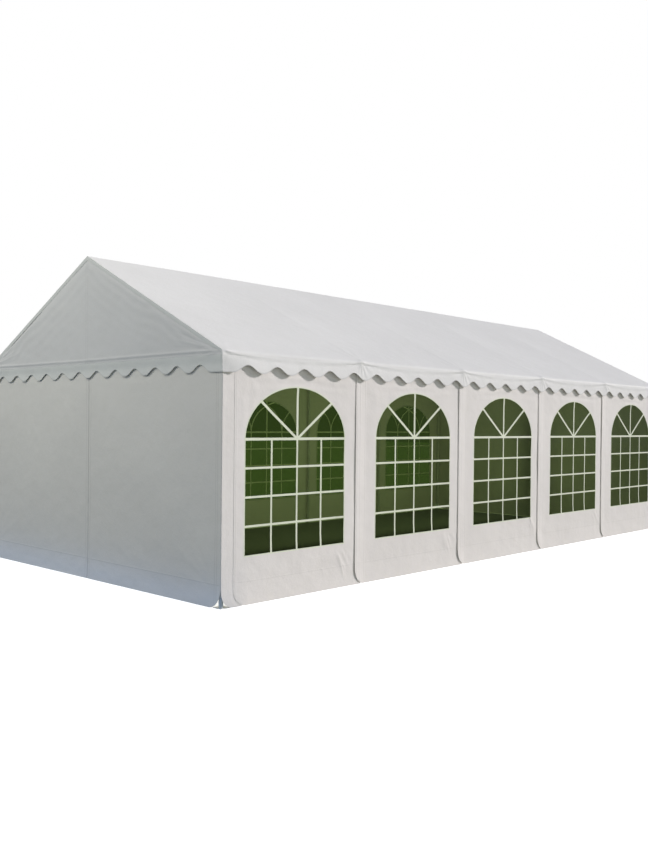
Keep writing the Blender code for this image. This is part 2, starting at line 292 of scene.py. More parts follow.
class StageSettings(bpy.types.PropertyGroup):
    """Lights round the tent."""

    key: FloatProperty(
        name="Key light", description="Strength of the light from the right front",
        default=3.40, min=0.0,
    )
    back: FloatProperty(
        name="Back light", description="Strength of the light from the left rear",
        default=0.03, min=0.0,
    )
    sky: FloatProperty(
        name="Surround", description="Strength of the light from all round",
        default=1.0, min=0.0,
    )
    gable: FloatProperty(
        name="Gable light", description="Power of the soft light from the left, high over the gable",
        default=312.0, min=0.0, unit="POWER",
    )
    glow: FloatProperty(
        name="Inside glow", description="Power of the daylight that comes through the white sheets",
        default=68.0, min=0.0, unit="POWER",
    )
    ground: FloatProperty(
        name="Floor light", description="Strength of the light on the floor alone",
        default=2.2, min=0.0,
    )


# Flat layout and its soft shapes


def smooth_step(t):
    """From 0 to 1 with soft ends."""
    t = np.clip(t, 0.0, 1.0)
    return t * t * (3 - 2 * t)


def ridge(distance, width):
    """A soft ridge of height 1 at distance 0, down to nothing at its width."""
    t = np.clip(np.abs(distance) / width, 0.0, 1.0)
    return (1 - t * t) ** 2


def hump(distance, width):
    """A soft hump of height 1 at distance 0."""
    return np.exp(-((distance / width) ** 2))


def soft_noise(u, v, cell_u, cell_v, seed):
    """Smooth noise from -1 to 1 over a sheet, with one random value a cell."""
    table = np.random.RandomState(seed).uniform(-1, 1, (97, 97))
    a, b = np.broadcast_arrays(u / cell_u, v / cell_v)
    ia, ib = np.floor(a).astype(int), np.floor(b).astype(int)
    fa, fb = smooth_step(a - ia), smooth_step(b - ib)
    low = table[ia % 97, ib % 97] * (1 - fa) + table[(ia + 1) % 97, ib % 97] * fa
    high = table[ia % 97, (ib + 1) % 97] * (1 - fa) + table[(ia + 1) % 97, (ib + 1) % 97] * fa
    return low * (1 - fb) + high * fb


def fold_ray(u, v, start, angle, length, width):
    """A crease that leaves a point at an angle from the u axis, and fades along its length."""
    turn = math.radians(angle)
    du, dv = u - start[0], v - start[1]
    on = du * math.cos(turn) + dv * math.sin(turn)
    across = -du * math.sin(turn) + dv * math.cos(turn)
    t = np.clip(on / length, 0.0, 1.0)
    return np.exp(-((across / (width * (0.5 + t))) ** 2)) * np.sin(math.pi * t ** 0.6) * (on > 0)


def merged(*groups):
    """Sorted distances, with those that nearly coincide dropped."""
    values = np.unique(np.round(np.concatenate([np.atleast_1d(g) for g in groups]), 5))
    return values[np.concatenate(([True], np.diff(values) > 0.0008))]


def spread(start, end, step):
    """Even places from start to end, none further apart than a step."""
    count = max(1, int(math.ceil((end - start) / step)))
    return np.linspace(start, end, count + 1)


def place(side, along, out, height):
    """World coordinates of points laid out on a side of the tent."""
    along, out, height = np.broadcast_arrays(along, out, height)
    if side == "front":
        return np.stack((along, -WALL_Y - out, height), -1)
    if side == "rear":
        return np.stack((-along, WALL_Y + out, height), -1)
    if side == "left":
        return np.stack((-WALL_X - out, -along, height), -1)
    return np.stack((WALL_X + out, along, height), -1)


def grid_object(name, points, flat, material, weld=None, keep=None, thickness=SHEET):
    """A sheet from a grid of points. flat has its flat coordinates, keep says which quads it has."""
    rows, cols = points.shape[:2]
    index = np.arange(rows * cols).reshape(rows, cols)
    quads = np.stack((index[:-1, :-1], index[:-1, 1:], index[1:, 1:], index[1:, :-1]), -1)
    quads = quads.reshape(-1, 4) if keep is None else quads[keep]
    used, quads = np.unique(quads, return_inverse=True)
    quads = quads.reshape(-1, 4)
    mesh = bpy.data.meshes.new(name)
    mesh.from_pydata(points.reshape(-1, 3)[used].tolist(), [], quads.tolist())
    layer = mesh.uv_layers.new(name="flat")
    layer.data.foreach_set("uv", flat.reshape(-1, 2)[used][quads.ravel()].astype(np.float32).ravel())
    attribute = mesh.attributes.new("weld", "FLOAT", "POINT")
    if weld is not None:
        attribute.data.foreach_set("value", weld.reshape(-1)[used].astype(np.float32))
    mesh.shade_smooth()
    obj = bpy.data.objects.new(name, mesh)
    bpy.context.scene.collection.objects.link(obj)
    obj.data.materials.append(material)
    if thickness:
        mod = obj.modifiers.new("thickness", "SOLIDIFY")
        mod.thickness = thickness
        mod.offset = -1.0
        mod.use_even_offset = True
        obj.modifiers.new("normals", "WEIGHTED_NORMAL")
    return obj


def mesh_object(name, bm, material):
    """An object of its own from a built mesh."""
    mesh = bpy.data.meshes.new(name)
    bm.to_mesh(mesh)
    bm.free()
    obj = bpy.data.objects.new(name, mesh)
    bpy.context.scene.collection.objects.link(obj)
    obj.data.materials.append(material)
    return obj


# Materials


class Finish:
    """A material and short ways to add nodes to it."""

    def __init__(self, name):
        self.material = bpy.data.materials.new(name)
        self.material.use_nodes = True
        self.tree = self.material.node_tree
        self.shader = self.tree.nodes["Principled BSDF"]

    def add(self, kind, **inputs):
        """A node of a kind, with values for its inputs. An underscore stands for a space."""
        made = self.tree.nodes.new(kind)
        for name, value in inputs.items():
            made.inputs[name.replace("_", " ")].default_value = value
        return made

    def link(self, source, target):
        self.tree.links.new(source, target)

    def noise(self, coordinate, scale, detail=3.0, roughness=0.5):
        """The grey value of a noise texture."""
        made = self.add("ShaderNodeTexNoise", Scale=scale, Detail=detail, Roughness=roughness)
        self.link(coordinate, made.inputs["Vector"])
        return made.outputs["Fac"]

    def levels(self, source, low, high, to_low, to_high):
        """A value moved from one range to another, and kept within it."""
        made = self.tree.nodes.new("ShaderNodeMapRange")
        for name, value in (("From Min", low), ("From Max", high), ("To Min", to_low), ("To Max", to_high)):
            made.inputs[name].default_value = value
        self.link(source, made.inputs["Value"])
        return made.outputs["Result"]

    def blend(self, factor, first, second):
        """A mix of two colours; each is a colour or a socket."""
        made = self.tree.nodes.new("ShaderNodeMix")
        made.data_type = "RGBA"
        self.link(factor, made.inputs["Factor"])
        for name, value in (("A", first), ("B", second)):
            socket = [s for s in made.inputs if s.name == name and s.type == "RGBA"][0]
            if isinstance(value, bpy.types.NodeSocket):
                self.link(value, socket)
            else:
                socket.default_value = value
        return [s for s in made.outputs if s.type == "RGBA"][0]

    def bump(self, height, distance, strength=1.0, under=None):
        """A normal bent by a height, on top of another bump where one is given."""
        made = self.add("ShaderNodeBump", Strength=strength, Distance=distance)
        self.link(height, made.inputs["Height"])
        if under is not None:
            self.link(under, made.inputs["Normal"])
        return made.outputs["Normal"]

    def set(self, **values):
        """Values for the inputs of the shader itself."""
        for name, value in values.items():
            self.shader.inputs[name.replace("_", " ")].default_value = value


def shade(colour, factor):
    """A colour made darker or lighter by a factor."""
    return tuple(c * factor for c in colour[:3]) + (1.0,)


def coated_sheet(name, colour, crumple=1.0):
    """White coated fabric: a faint weave under a satin skin, soft crumples, darker welds and painted shade
    lines.
    """
    finish = Finish(name)
    flat = finish.add("ShaderNodeUVMap")
    flat.uv_map = "flat"
    place_on = flat.outputs["UV"]
    mottle = finish.levels(finish.noise(place_on, 0.9, 4.0), 0.3, 0.7, 0.0, 1.0)
    base = finish.blend(mottle, shade(colour, 1.0), shade(colour, 0.955))
    dust = finish.levels(finish.noise(place_on, 7.0, 5.0, 0.6), 0.45, 0.8, 0.0, 0.35)
    base = finish.blend(dust, base, (colour[0] * 0.93, colour[1] * 0.93, colour[2] * 0.90, 1.0))
    # The weld attribute darkens real welds, and also painted shade: a gable wall's closing line and the
    # line under a valance's hem
    weld = finish.add("ShaderNodeAttribute")
    weld.attribute_name = "weld"
    weld_and_shade_share = finish.levels(weld.outputs["Fac"], 0.0, 3.0, 0.0, 1.0)
    base = finish.blend(weld_and_shade_share, base, shade(colour, 0.74))
    finish.link(base, finish.shader.inputs["Base Color"])
    rough = finish.levels(finish.noise(place_on, 5.0, 3.0), 0.25, 0.75, 0.56, 0.66)
    finish.link(rough, finish.shader.inputs["Roughness"])
    crumples = finish.noise(place_on, 6.5, 3.0, 0.45)
    normal = finish.bump(crumples, 0.010 * crumple, 0.55)
    creases = finish.add("ShaderNodeTexNoise", Scale=19.0, Detail=2.0, Distortion=1.4)
    finish.link(place_on, creases.inputs["Vector"])
    normal = finish.bump(creases.outputs["Fac"], 0.0020 * crumple, 0.5, normal)
    for direction in ("X", "Y"):
        thread = finish.add("ShaderNodeTexWave", Scale=210.0, Distortion=0.4, Detail=1.0)
        thread.bands_direction = direction
        finish.link(place_on, thread.inputs["Vector"])
        normal = finish.bump(thread.outputs["Fac"], 0.00008, 0.35, normal)
    finish.link(normal, finish.shader.inputs["Normal"])
    finish.set(Specular_IOR_Level=0.09)
    return finish.material


def window_film(name, settings):
    """Tinted clear film: it lets its tint through, and mirrors more at a low angle."""
    finish = Finish(name)
    clear = finish.add("ShaderNodeBsdfTransparent")
    clear.inputs["Color"].default_value = tuple(settings.tint)
    flat = finish.add("ShaderNodeUVMap")
    flat.uv_map = "flat"
    wave = finish.noise(flat.outputs["UV"], 2.6, 2.0, 0.4)
    normal = finish.bump(wave, 0.02, 0.6)
    fine = finish.noise(flat.outputs["UV"], 17.0, 2.0)
    normal = finish.bump(fine, 0.0015, 0.5, normal)
    finish.link(normal, finish.shader.inputs["Normal"])
    haze = finish.levels(finish.noise(flat.outputs["UV"], 1.7, 3.0), 0.3, 0.7, 0.05, 0.11)
    finish.link(haze, finish.shader.inputs["Roughness"])
    tone = finish.blend(wave, (0.010, 0.016, 0.007, 1.0), (0.016, 0.024, 0.012, 1.0))
    finish.link(tone, finish.shader.inputs["Base Color"])
    finish.set(IOR=1.45)
    glance = finish.add("ShaderNodeLayerWeight", Blend=0.5)
    finish.link(normal, glance.inputs["Normal"])
    steep = finish.tree.nodes.new("ShaderNodeMath")
    steep.operation = "POWER"
    steep.inputs[1].default_value = 4.0
    finish.link(glance.outputs["Facing"], steep.inputs[0])
    share = finish.levels(steep.outputs["Value"], 0.0, 1.0, 0.10, 0.95)
    mix = finish.add("ShaderNodeMixShader")
    finish.link(share, mix.inputs["Fac"])
    finish.link(clear.outputs["BSDF"], mix.inputs[1])
    finish.link(finish.shader.outputs["BSDF"], mix.inputs[2])
    finish.link(mix.outputs["Shader"], finish.tree.nodes["Material Output"].inputs["Surface"])
    return finish.material


def bar_plastic(name, settings):
    """Soft white strip, welded to the film and the wall."""
    colour = tuple(settings.bar_colour)
    finish = Finish(name)
    where = finish.add("ShaderNodeTexCoord").outputs["Object"]
    tone = finish.levels(finish.noise(where, 3.0, 4.0), 0.3, 0.7, 0.0, 1.0)
    base = finish.blend(tone, colour, shade(colour, 0.94))
    finish.link(base, finish.shader.inputs["Base Color"])
    rough = finish.levels(finish.noise(where, 22.0, 2.0), 0.3, 0.7, 0.30, 0.42)
    finish.link(rough, finish.shader.inputs["Roughness"])
    emboss = finish.noise(where, 420.0, 2.0)
    finish.link(finish.bump(emboss, 0.0002, 0.5), finish.shader.inputs["Normal"])
    finish.set(Specular_IOR_Level=0.45)
    return finish.material


def galvanised(name, scale=34.0, colour=(0.80, 0.81, 0.82, 1.0)):
    """Zinc on steel: a faint spangle, dull patches and a fine grain."""
    finish = Finish(name)
    where = finish.add("ShaderNodeTexCoord").outputs["Object"]
    spangle = finish.add("ShaderNodeTexVoronoi", Scale=scale, Randomness=1.0)
    finish.link(where, spangle.inputs["Vector"])
    grey = finish.add("ShaderNodeRGBToBW")
    finish.link(spangle.outputs["Color"], grey.inputs["Color"])
    base = finish.blend(grey.outputs["Val"], shade(colour, 0.86), shade(colour, 1.08))
    dull = finish.levels(finish.noise(where, 5.0, 5.0, 0.6), 0.4, 0.7, 0.0, 1.0)
    base = finish.blend(dull, base, (0.70, 0.71, 0.72, 1.0))
    finish.link(base, finish.shader.inputs["Base Color"])
    rough = finish.levels(grey.outputs["Val"], 0.0, 1.0, 0.30, 0.46)
    finish.link(rough, finish.shader.inputs["Roughness"])
    normal = finish.bump(grey.outputs["Val"], 0.0002, 0.4)
    normal = finish.bump(finish.noise(where, 260.0, 2.0), 0.0002, 0.3, normal)
    finish.link(normal, finish.shader.inputs["Normal"])
    finish.set(Metallic=0.25)
    return finish.material


def finish_named(name, make, *values):
    """The material of that name, made the first time it is asked for."""
    return bpy.data.materials.get(name) or make(name, *values)


def cover_finish(scene):
    return finish_named("coated_cover", coated_sheet, scene.marquee_cover.colour, 0.7)


def gable_painted_shade_finish(scene):
    """The gable tops' sheet: the cover's colour made a little greyer, as painted shade for the gable tops.
    """
    colour = scene.marquee_cover.colour
    # Painted shade: the same sheet as the slopes, darkened where the gable tops take less light
    grey = (colour[0] * 0.92, colour[1] * 0.905, colour[2] * 0.93, 1.0)
    return finish_named("coated_gable", coated_sheet, grey, 0.7)


def wall_finish(scene):
    return finish_named("coated_wall", coated_sheet, scene.marquee_walls.colour)


def film_finish(scene):
    return finish_named("clear_film", window_film, scene.marquee_windows)


def bar_finish(scene):
    return finish_named("white_strip", bar_plastic, scene.marquee_windows)


def steel_finish():
    return finish_named("zinc_tube", galvanised)


def bolt_finish():
    return finish_named("zinc_bolt", galvanised, 180.0, (0.66, 0.66, 0.64, 1.0))


# Roof cover


def to_frame(along):
    """Signed distance to the nearest frame."""
    step = along[..., None] - np.array(FRAMES)
    return np.take_along_axis(step, np.abs(step).argmin(-1)[..., None], -1)[..., 0]


def bay_share(along):
    """Place within a bay, from 0 to 1."""
    share = np.clip((along + WALL_X) / BAY, 0.0, BAYS)
    return share - np.clip(np.floor(share), 0, BAYS - 1)


def eave_drop(along, settings):
    """How far the eave hangs below its joints, at a distance along the side."""
    return settings.eave_sag * (1 - np.exp(-np.abs(to_frame(along)) / 0.24))


def side_drape(along, height, settings):
    """How far the eave band of a long side stands out from the cover's face."""
    near, share = to_frame(along), bay_share(along)
    bow = np.clip(4 * share * (1 - share), 0.0, 1.0)
    crease = EAVE - BAND_CREASE - BAND_CREASE_BOW * bow ** 0.7
    grip = np.exp(-np.abs(near) / 0.55)
    bulge = 0.0052 * hump(height - crease - 0.018, 0.018)
    dent = 0.0048 * hump(height - crease + 0.009, 0.016)
    out = (0.3 + 0.7 * grip) * (bulge - dent)
    inner = smooth_step((COVER_X - 0.3 - np.abs(along)) / 0.3)
    out += settings.joint_push * inner * hump(near, 0.055) * hump(height - (EAVE - 0.030), 0.050)
    for angle, length, width, depth in JOINT_FOLDS:
        fold = fold_ray(near, height, (0.004, EAVE - 0.012), angle, length, width)
        out += depth * (inner if angle < -40 else 0.4 + 0.6 * inner) * fold
    low = smooth_step((EAVE - 0.04 - height) / 0.16)
    ends = np.minimum(along + COVER_X, COVER_X - along)
    hang_out = (0.014 - 0.010 * smooth_step((along + COVER_X) / 4.0)) * smooth_step(ends / 0.40)
    out += low * (hang_out + 0.0034 * soft_noise(along, height, 0.21, 0.5, 11))
    out += 0.0012 * soft_noise(along, height, 0.13, 0.09, 12)
    return out * smooth_step(ends / 0.05)


def half_section():
    """Half of the roof's section, from the lower edge to the ridge.

    It gives the distance from the middle and the height, the outward normal, and the
    length along the sheet from the lower edge.
    """
    tangent = math.pi / 2 - SLOPE
    roll_y = COVER_Y - EAVE_ROLL
    roll = np.array([roll_y, RIDGE - EAVE_ROLL / math.cos(SLOPE) - roll_y * math.tan(SLOPE)])
    top = np.array([0.0, RIDGE - RIDGE_ROLL / math.cos(SLOPE)])
    normal = np.array([math.sin(SLOPE), math.cos(SLOPE)])
    places, normals = [], []
    for z in FACE_HEIGHTS:
        places.append((COVER_Y, COVER_BOTTOM + z))
        normals.append((1.0, 0.0))
    for angle in np.linspace(0.0, tangent, ROLL_POINTS):
        places.append(tuple(roll + EAVE_ROLL * np.array([math.cos(angle), math.sin(angle)])))
        normals.append((math.cos(angle), math.sin(angle)))
    start = roll + EAVE_ROLL * normal
    end = top + RIDGE_ROLL * normal
    length = float(np.linalg.norm(end - start))
    climb = (end - start) / length
    for t in merged(spread(0.0, 0.36, 0.021), spread(0.36, length, 0.062))[1:]:
        places.append(tuple(start + climb * t))
        normals.append(tuple(normal))
    for angle in np.linspace(tangent, math.pi / 2, 4)[1:]:
        places.append(tuple(top + RIDGE_ROLL * np.array([math.cos(angle), math.sin(angle)])))
        normals.append((math.cos(angle), math.sin(angle)))
    places, normals = np.array(places), np.array(normals)
    run = np.concatenate(([0.0], np.cumsum(np.linalg.norm(np.diff(places, axis=0), axis=1))))
    return places, normals, run


def inset_section(places, normals, insets):
    """The half section moved into the roof, each point by an inset of its own, with sharp corners."""
    moved = places - normals * insets[:, None]
    moved[:, 0] = np.clip(moved[:, 0], 0.0, COVER_Y - insets)
    roofline = RIDGE - insets / math.cos(SLOPE) - moved[:, 0] * math.tan(SLOPE)
    moved[:, 1] = np.minimum(moved[:, 1], roofline)
    return moved


def cover_columns():
    """Places along the roof, and how far the turn over the rake takes each of them in."""
    near = [x + d for x in FRAMES[1:-1] for d in np.arange(-0.16, 0.161, 0.018)]
    ends = [s * (FRAMES[-1] + d) for s in (-1, 1) for d in np.arange(-0.16, 0.05, 0.018)]
    turn_start = COVER_X - CORNER_R
    flat = merged(spread(-COVER_X + CORNER_R, turn_start, 0.05), near, ends)
    angles = np.linspace(0.0, math.pi / 2, 5)[1:]
    turn = [(turn_start + CORNER_R * math.sin(a), CORNER_R * (1 - math.cos(a))) for a in angles]
    strip = [(COVER_X - 0.12 * (d - CORNER_R), d) for d in (0.024, 0.034, 0.040, RAKE_STRIP)]
    right = turn + strip
    left = [(-x, inset) for x, inset in reversed(right)]
    return np.array(left + [(x, 0.0) for x in flat] + right).T


def slope_drop(along, run, settings):
    """How far a slope's lower stretch hangs down with its eave, between two frames."""
    drop = eave_drop(along, settings) * smooth_step(run / 0.04)
    over_roll = 1 - 0.6 * smooth_step((run - 0.03) / 0.05)
    return drop * over_roll * (1 - smooth_step((run - 0.1) / 0.9))


def slope_out(side, x, run, climb, settings):
    """How far a slope stands out from its plane: its sag, its soft waves and its folds."""
    share = bay_share(-side * x)
    bow = 4 * share * (1 - share)
    out = -settings.sag * bow * np.sin(math.pi * climb)
    out += 0.0022 * soft_noise(x, run, 0.75, 0.6, 21 + side) * smooth_step(climb / 0.1)
    out += 0.0009 * soft_noise(x, run, 0.22, 0.3, 31 + side)
    near = to_frame(-side * x)
    for angle, length, width, depth in SLOPE_FOLDS:
        out += depth * fold_ray(near, run, (0.0, 0.05), angle, length, width)
    return out


def slope_rows(side, x, inset, settings):
    """Points of one slope from its lower edge to the ridge, and their length along the sheet."""
    places, normals, run = half_section()
    slope_start = run[len(FACE_HEIGHTS) + ROLL_POINTS - 1]
    limit = RAKE_TURN + (RAKE_STRIP - RAKE_TURN) * smooth_step((run - slope_start) / 0.15)
    rows = np.zeros((len(places), len(x), 3))
    rows[..., 0] = x
    for i, d in enumerate(inset):
        rows[:, i, 1:] = inset_section(places, normals, np.minimum(d, limit))
    grid_x = np.broadcast_to(x, rows.shape[:2])
    grid_run = np.broadcast_to(run[:, None], rows.shape[:2])
    height = np.broadcast_to(places[:, 1:2], rows.shape[:2])
    climb = np.clip((grid_run - slope_start) / (run[-1] - slope_start), 0.0, 1.0)
    along = -side * grid_x
    band = side_drape(along, height, settings) * (1 - smooth_step((grid_run - 0.06) / 0.08))
    stand = slope_out(side, grid_x, grid_run, climb, settings) * smooth_step((grid_run - 0.02) / 0.20)
    out = (stand + band) * smooth_step((COVER_X - np.abs(grid_x)) / 0.05)
    rows[..., 1] += out * normals[:, 0:1]
    rows[..., 2] += out * normals[:, 1:2] - slope_drop(along, grid_run, settings)
    rows[..., 1] *= side
    return rows, grid_run


def roof_cover(context):
    """Both slopes, with the rolled eaves and the strips that turn down over the rakes."""
    settings = context.scene.marquee_cover
    x, inset = cover_columns()
    front, run = slope_rows(-1, x, inset, settings)
    rear = slope_rows(1, x, inset, settings)[0]
    points = np.concatenate((front, rear[::-1][1:]))
    total_run = run[-1, 0]
    flat_v = np.concatenate((run, 2 * total_run - run[::-1][1:]))
    flat_u = x + np.sign(x) * inset
    flat = np.stack((np.broadcast_to(flat_u, flat_v.shape), flat_v), -1)
    weld = np.broadcast_to(ridge(inset - RAKE_SEAM, 0.006) * (inset > RAKE_TURN), flat_v.shape).copy()
    obj = grid_object("roof_sheet", points, flat, cover_finish(context.scene), weld)
    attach(obj, "root")
    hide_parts("roof_cover")


# Gable tops


def gable_drape(along, height):
    """How far the gable's band stands out at the seam over the tie, and below it."""
    sway = 0.004 * np.cos(math.pi * along / COVER_Y) + 0.005 * soft_noise(along, height, 0.8, 9.0, 15)
    out = 0.0050 * hump(height - (EAVE - 0.006 - sway), 0.014)
    out -= 0.0026 * hump(height - (EAVE - 0.032 - sway), 0.016)
    low = np.clip((EAVE - 0.05 - height) / 0.15, 0.0, 1.0)
    out += low * 0.0030 * soft_noise(along, height, 0.23, 0.5, 13)
    out += 0.0012 * soft_noise(along, height, 0.12, 0.07, 14)
    ends = COVER_Y - np.abs(along)
    for side in (-1, 1):
        edge = (side * (COVER_Y - 0.03), EAVE - 0.01)
        for tilt, depth in CORNER_TILTS:
            angle = 180 + tilt if side > 0 else -tilt
            out += depth * fold_ray(along, height, edge, angle, 0.34 if tilt > 0 else 0.95, 0.013)
    return out * smooth_step(ends / 0.05)


def gable_top(context, side):
    """The triangle over a gable, tucked under the cover's strips."""
    half = COVER_Y - 0.004
    beside = [GABLE_SEAM + d for d in (-GABLE_SEAM, -GABLE_SEAM_REACH, 0.0, GABLE_SEAM_REACH)]
    along = merged(spread(-half, half, 0.030), [d * s for d in beside for s in (-1, 1)])
    roofline = RIDGE - 0.006 - np.abs(along) * math.tan(SLOPE)
    roofline = np.maximum(roofline, COVER_BOTTOM + 0.03)
    squeeze = np.minimum(1.0, (roofline - COVER_BOTTOM) / 0.12)
    rows = [COVER_BOTTOM + h * squeeze for h in BAND_ROWS]
    start = rows[-1]
    rows += [start + (roofline - start) * t for t in np.linspace(0.0, 1.0, 34)[1:]]
    height = np.array(rows)
    grid = np.broadcast_to(along, height.shape)
    to_rake = (RIDGE - np.abs(grid) * math.tan(SLOPE) - height) * math.cos(SLOPE)
    out = gable_drape(grid, height)
    above = smooth_step((height - EAVE - 0.03) / 0.12)
    waver = soft_noise(grid, height, 0.5, 0.5, 41)
    waves = np.sin(2 * math.pi * (to_rake / 0.115 + 0.55 * waver))
    out += above * 0.0024 * waves * np.exp(-to_rake / 0.30) * smooth_step(to_rake / 0.06)
    out += above * 0.0030 * soft_noise(grid, height, 0.65, 0.5, 42)
    out += above * 0.0009 * soft_noise(grid, height, 0.16, 0.16, 43)
    for line in (-GABLE_SEAM, GABLE_SEAM):
        out += 0.0018 * ridge(grid - line, GABLE_SEAM_REACH)
    out -= 0.009 * smooth_step(1.6 * (1 - to_rake / 0.085))
    weld = ridge(np.abs(grid) - GABLE_SEAM, GABLE_SEAM_REACH)
    points = place(side, grid, STAND - 0.0015 + out, height)
    flat = np.stack((grid, height), -1)
    # The gable top's sheet is the cover's colour darkened as painted shade
    obj = grid_object(f"{side}_gable_sheet", points, flat, gable_painted_shade_finish(context.scene), weld)
    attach(obj, "root")
    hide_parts(f"{side}_gable_top")


# Valance


def notch_places(half_length, count):
    """Places of the valance's notches, from the side's left corner."""
    return [half_length + PITCH * (i - (count - 1) / 2) for i in range(count)]


def wave_depth(s, notches):
    """Depth of the valance's edge below the eave, at a distance from the side's left corner."""
    nearest = np.abs(s[..., None] - np.array(notches)).min(-1)
    share = np.minimum(nearest / (PITCH / 2), 1.0)
    wave = (0.5 + 0.5 * np.cos(math.pi * share)) ** WAVE_POWER
    return LOBE + (NOTCH - LOBE) * wave


def valance(context, side):
    """The scalloped band of one side, half round both of its corners."""
    long_side = side in ("front", "rear")
    half = COVER_X if long_side else COVER_Y
    length = 2 * half
    notches = notch_places(half, SIDE_NOTCHES if long_side else GABLE_NOTCHES)
    turns = [CORNER_R * t for t in (0.0, 0.25, 0.5, 0.75, 1.0)]
    joints = [x + half + d for x in FRAMES for d in np.arange(-0.15, 0.151, 0.007)] if long_side else []
    joints = [x for x in joints if CORNER_R < x < length - CORNER_R]
    s = merged(turns, spread(CORNER_R, length - CORNER_R, 0.0196), [length - t for t in turns], joints)
    angle = math.radians(45) * (np.clip(s / CORNER_R, 0, 1) - np.clip((length - s) / CORNER_R, 0, 1))
    along = np.clip(s, CORNER_R, length - CORNER_R) - half + CORNER_R * np.sin(angle)
    turn_out = CORNER_R * (np.cos(angle) - 1)
    fall = COVER_BOTTOM - (EAVE - wave_depth(s, notches))
    hem = np.array(HEM_ROWS) / fall.mean()
    share = np.concatenate((np.linspace(0.0, 1 - hem[-1] - 0.05, 7), 1 - hem[::-1]))
    height = COVER_BOTTOM - share[:, None] * fall[None, :]
    grid = np.broadcast_to(along, height.shape)
    if long_side:
        out = side_drape(grid, height, context.scene.marquee_cover)
    else:
        out = gable_drape(grid, height) - 0.0015 * smooth_step((COVER_Y - np.abs(grid)) / 0.05)
    fold = np.broadcast_to((share > 1 - hem[2] - TOUCH)[:, None], height.shape)
    out = out + 0.0004 * fold
    # The hem's weld mark darkens the real hem, and is also painted shade: the dark line under the valance's
    # edge
    weld = 1.5 * fold.astype(float)
    low = smooth_step((EAVE - 0.03 - height) / (0.17 if long_side else 0.12))
    to_corner = np.minimum(s, length - s)
    corner = hump(to_corner, 0.22)
    out = out - low * (CORNER_TUCK * corner + (0.0 if long_side else GABLE_TUCK) * (1 - corner))
    grid = grid - np.sign(grid) * low * CORNER_TUCK * hump(to_corner, 0.10)
    points = place(side, grid, STAND + turn_out + out, height)
    flat = np.stack((np.broadcast_to(s, height.shape), height), -1)
    points, flat, weld = points[::-1], flat[::-1], weld[::-1]
    obj = grid_object(f"{side}_valance_sheet", points, flat, cover_finish(context.scene), weld)
    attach(obj, "root")
    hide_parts("valance")


# Walls


def hang(s, height, seed, crease):
    """Soft folds and crumples of a hanging wall: how far it stands out."""
    upper = smooth_step(height / WALL_TOP)
    long_folds = soft_noise(s, height, 0.19, 1.6, seed) + 0.5 * soft_noise(s, height, 0.085, 0.9, seed + 1)
    out = crease * 0.9 * long_folds * (0.35 + 0.65 * upper)
    out = out + crease * 1.5 * soft_noise(s, height, 0.55, 0.45, seed + 2)
    out = out + crease * 0.5 * soft_noise(s, height, 0.14, 0.12, seed + 3)
    top_swag = hump(height - 2.33, 0.10)
    return out + crease * 0.9 * top_swag * soft_noise(s, height, 0.5, 0.045, seed + 4)


def seam_lines(distance, lines, height):
    """How high the welds along some lines stand, and where they are, from 0 to 1."""
    total = np.zeros_like(distance)
    for line in lines:
        total = np.maximum(total, ridge(distance - line, 0.009))
    return height * total, total


def skirt_flare(height):
    """The skirt below its seam stands out a little more towards the ground."""
    return 0.010 * np.clip((SKIRT_SEAM - height) / SKIRT_SEAM, 0.0, 1.0) ** 1.3


def window_top(x, left, margin=0.0):
    """Height of the window's arch at a place along the panel."""
    half = WINDOW_WIDTH / 2 + margin
    share = np.clip((x - left - WINDOW_WIDTH / 2) / half, -1.0, 1.0)
    return WINDOW_SPRING + (WINDOW_RISE + margin) * np.sqrt(1 - share**2)


def arch_columns(left, count, margin=0.0):
    """Places across a window, closer together where its arch is steep."""
    angles = np.linspace(math.pi, 0.0, count + 1)
    return left + WINDOW_WIDTH / 2 + (WINDOW_WIDTH / 2 + margin) * np.cos(angles)


def corner_lift(distance, radius):
    """Height of a sheet's lower edge over the ground at a rounded corner."""
    reach = np.clip(radius - distance, 0.0, radius)
    return radius - np.sqrt(radius**2 - reach**2)


def lifted_hem(height, lift, reach):
    """Heights with their lowest stretch squeezed up to a lifted lower edge."""
    return np.where(height < reach, lift + height * (reach - lift) / reach, height)


def around(lines, offsets=(-0.009, -0.0045, 0.0, 0.0045, 0.009)):
    """Places on each line and close beside it, which give its weld a shape."""
    return np.array([line + d for line in lines for d in offsets])


def bay_line(bay):
    """Place of a bay's left frame, along its side."""
    return -WALL_X + BAY * bay


def window_start(bay):
    """Place of a window's left edge, along its side."""
    return bay_line(bay) + WINDOW_LEFT


def panel_span(bay):
    """Both ends of a bay's panel, along its side."""
    left = bay_line(bay) + (END_LAP if bay == 0 else LAP_START)
    return left, bay_line(bay) + BAY + (-END_LAP if bay == BAYS - 1 else LAP_END)


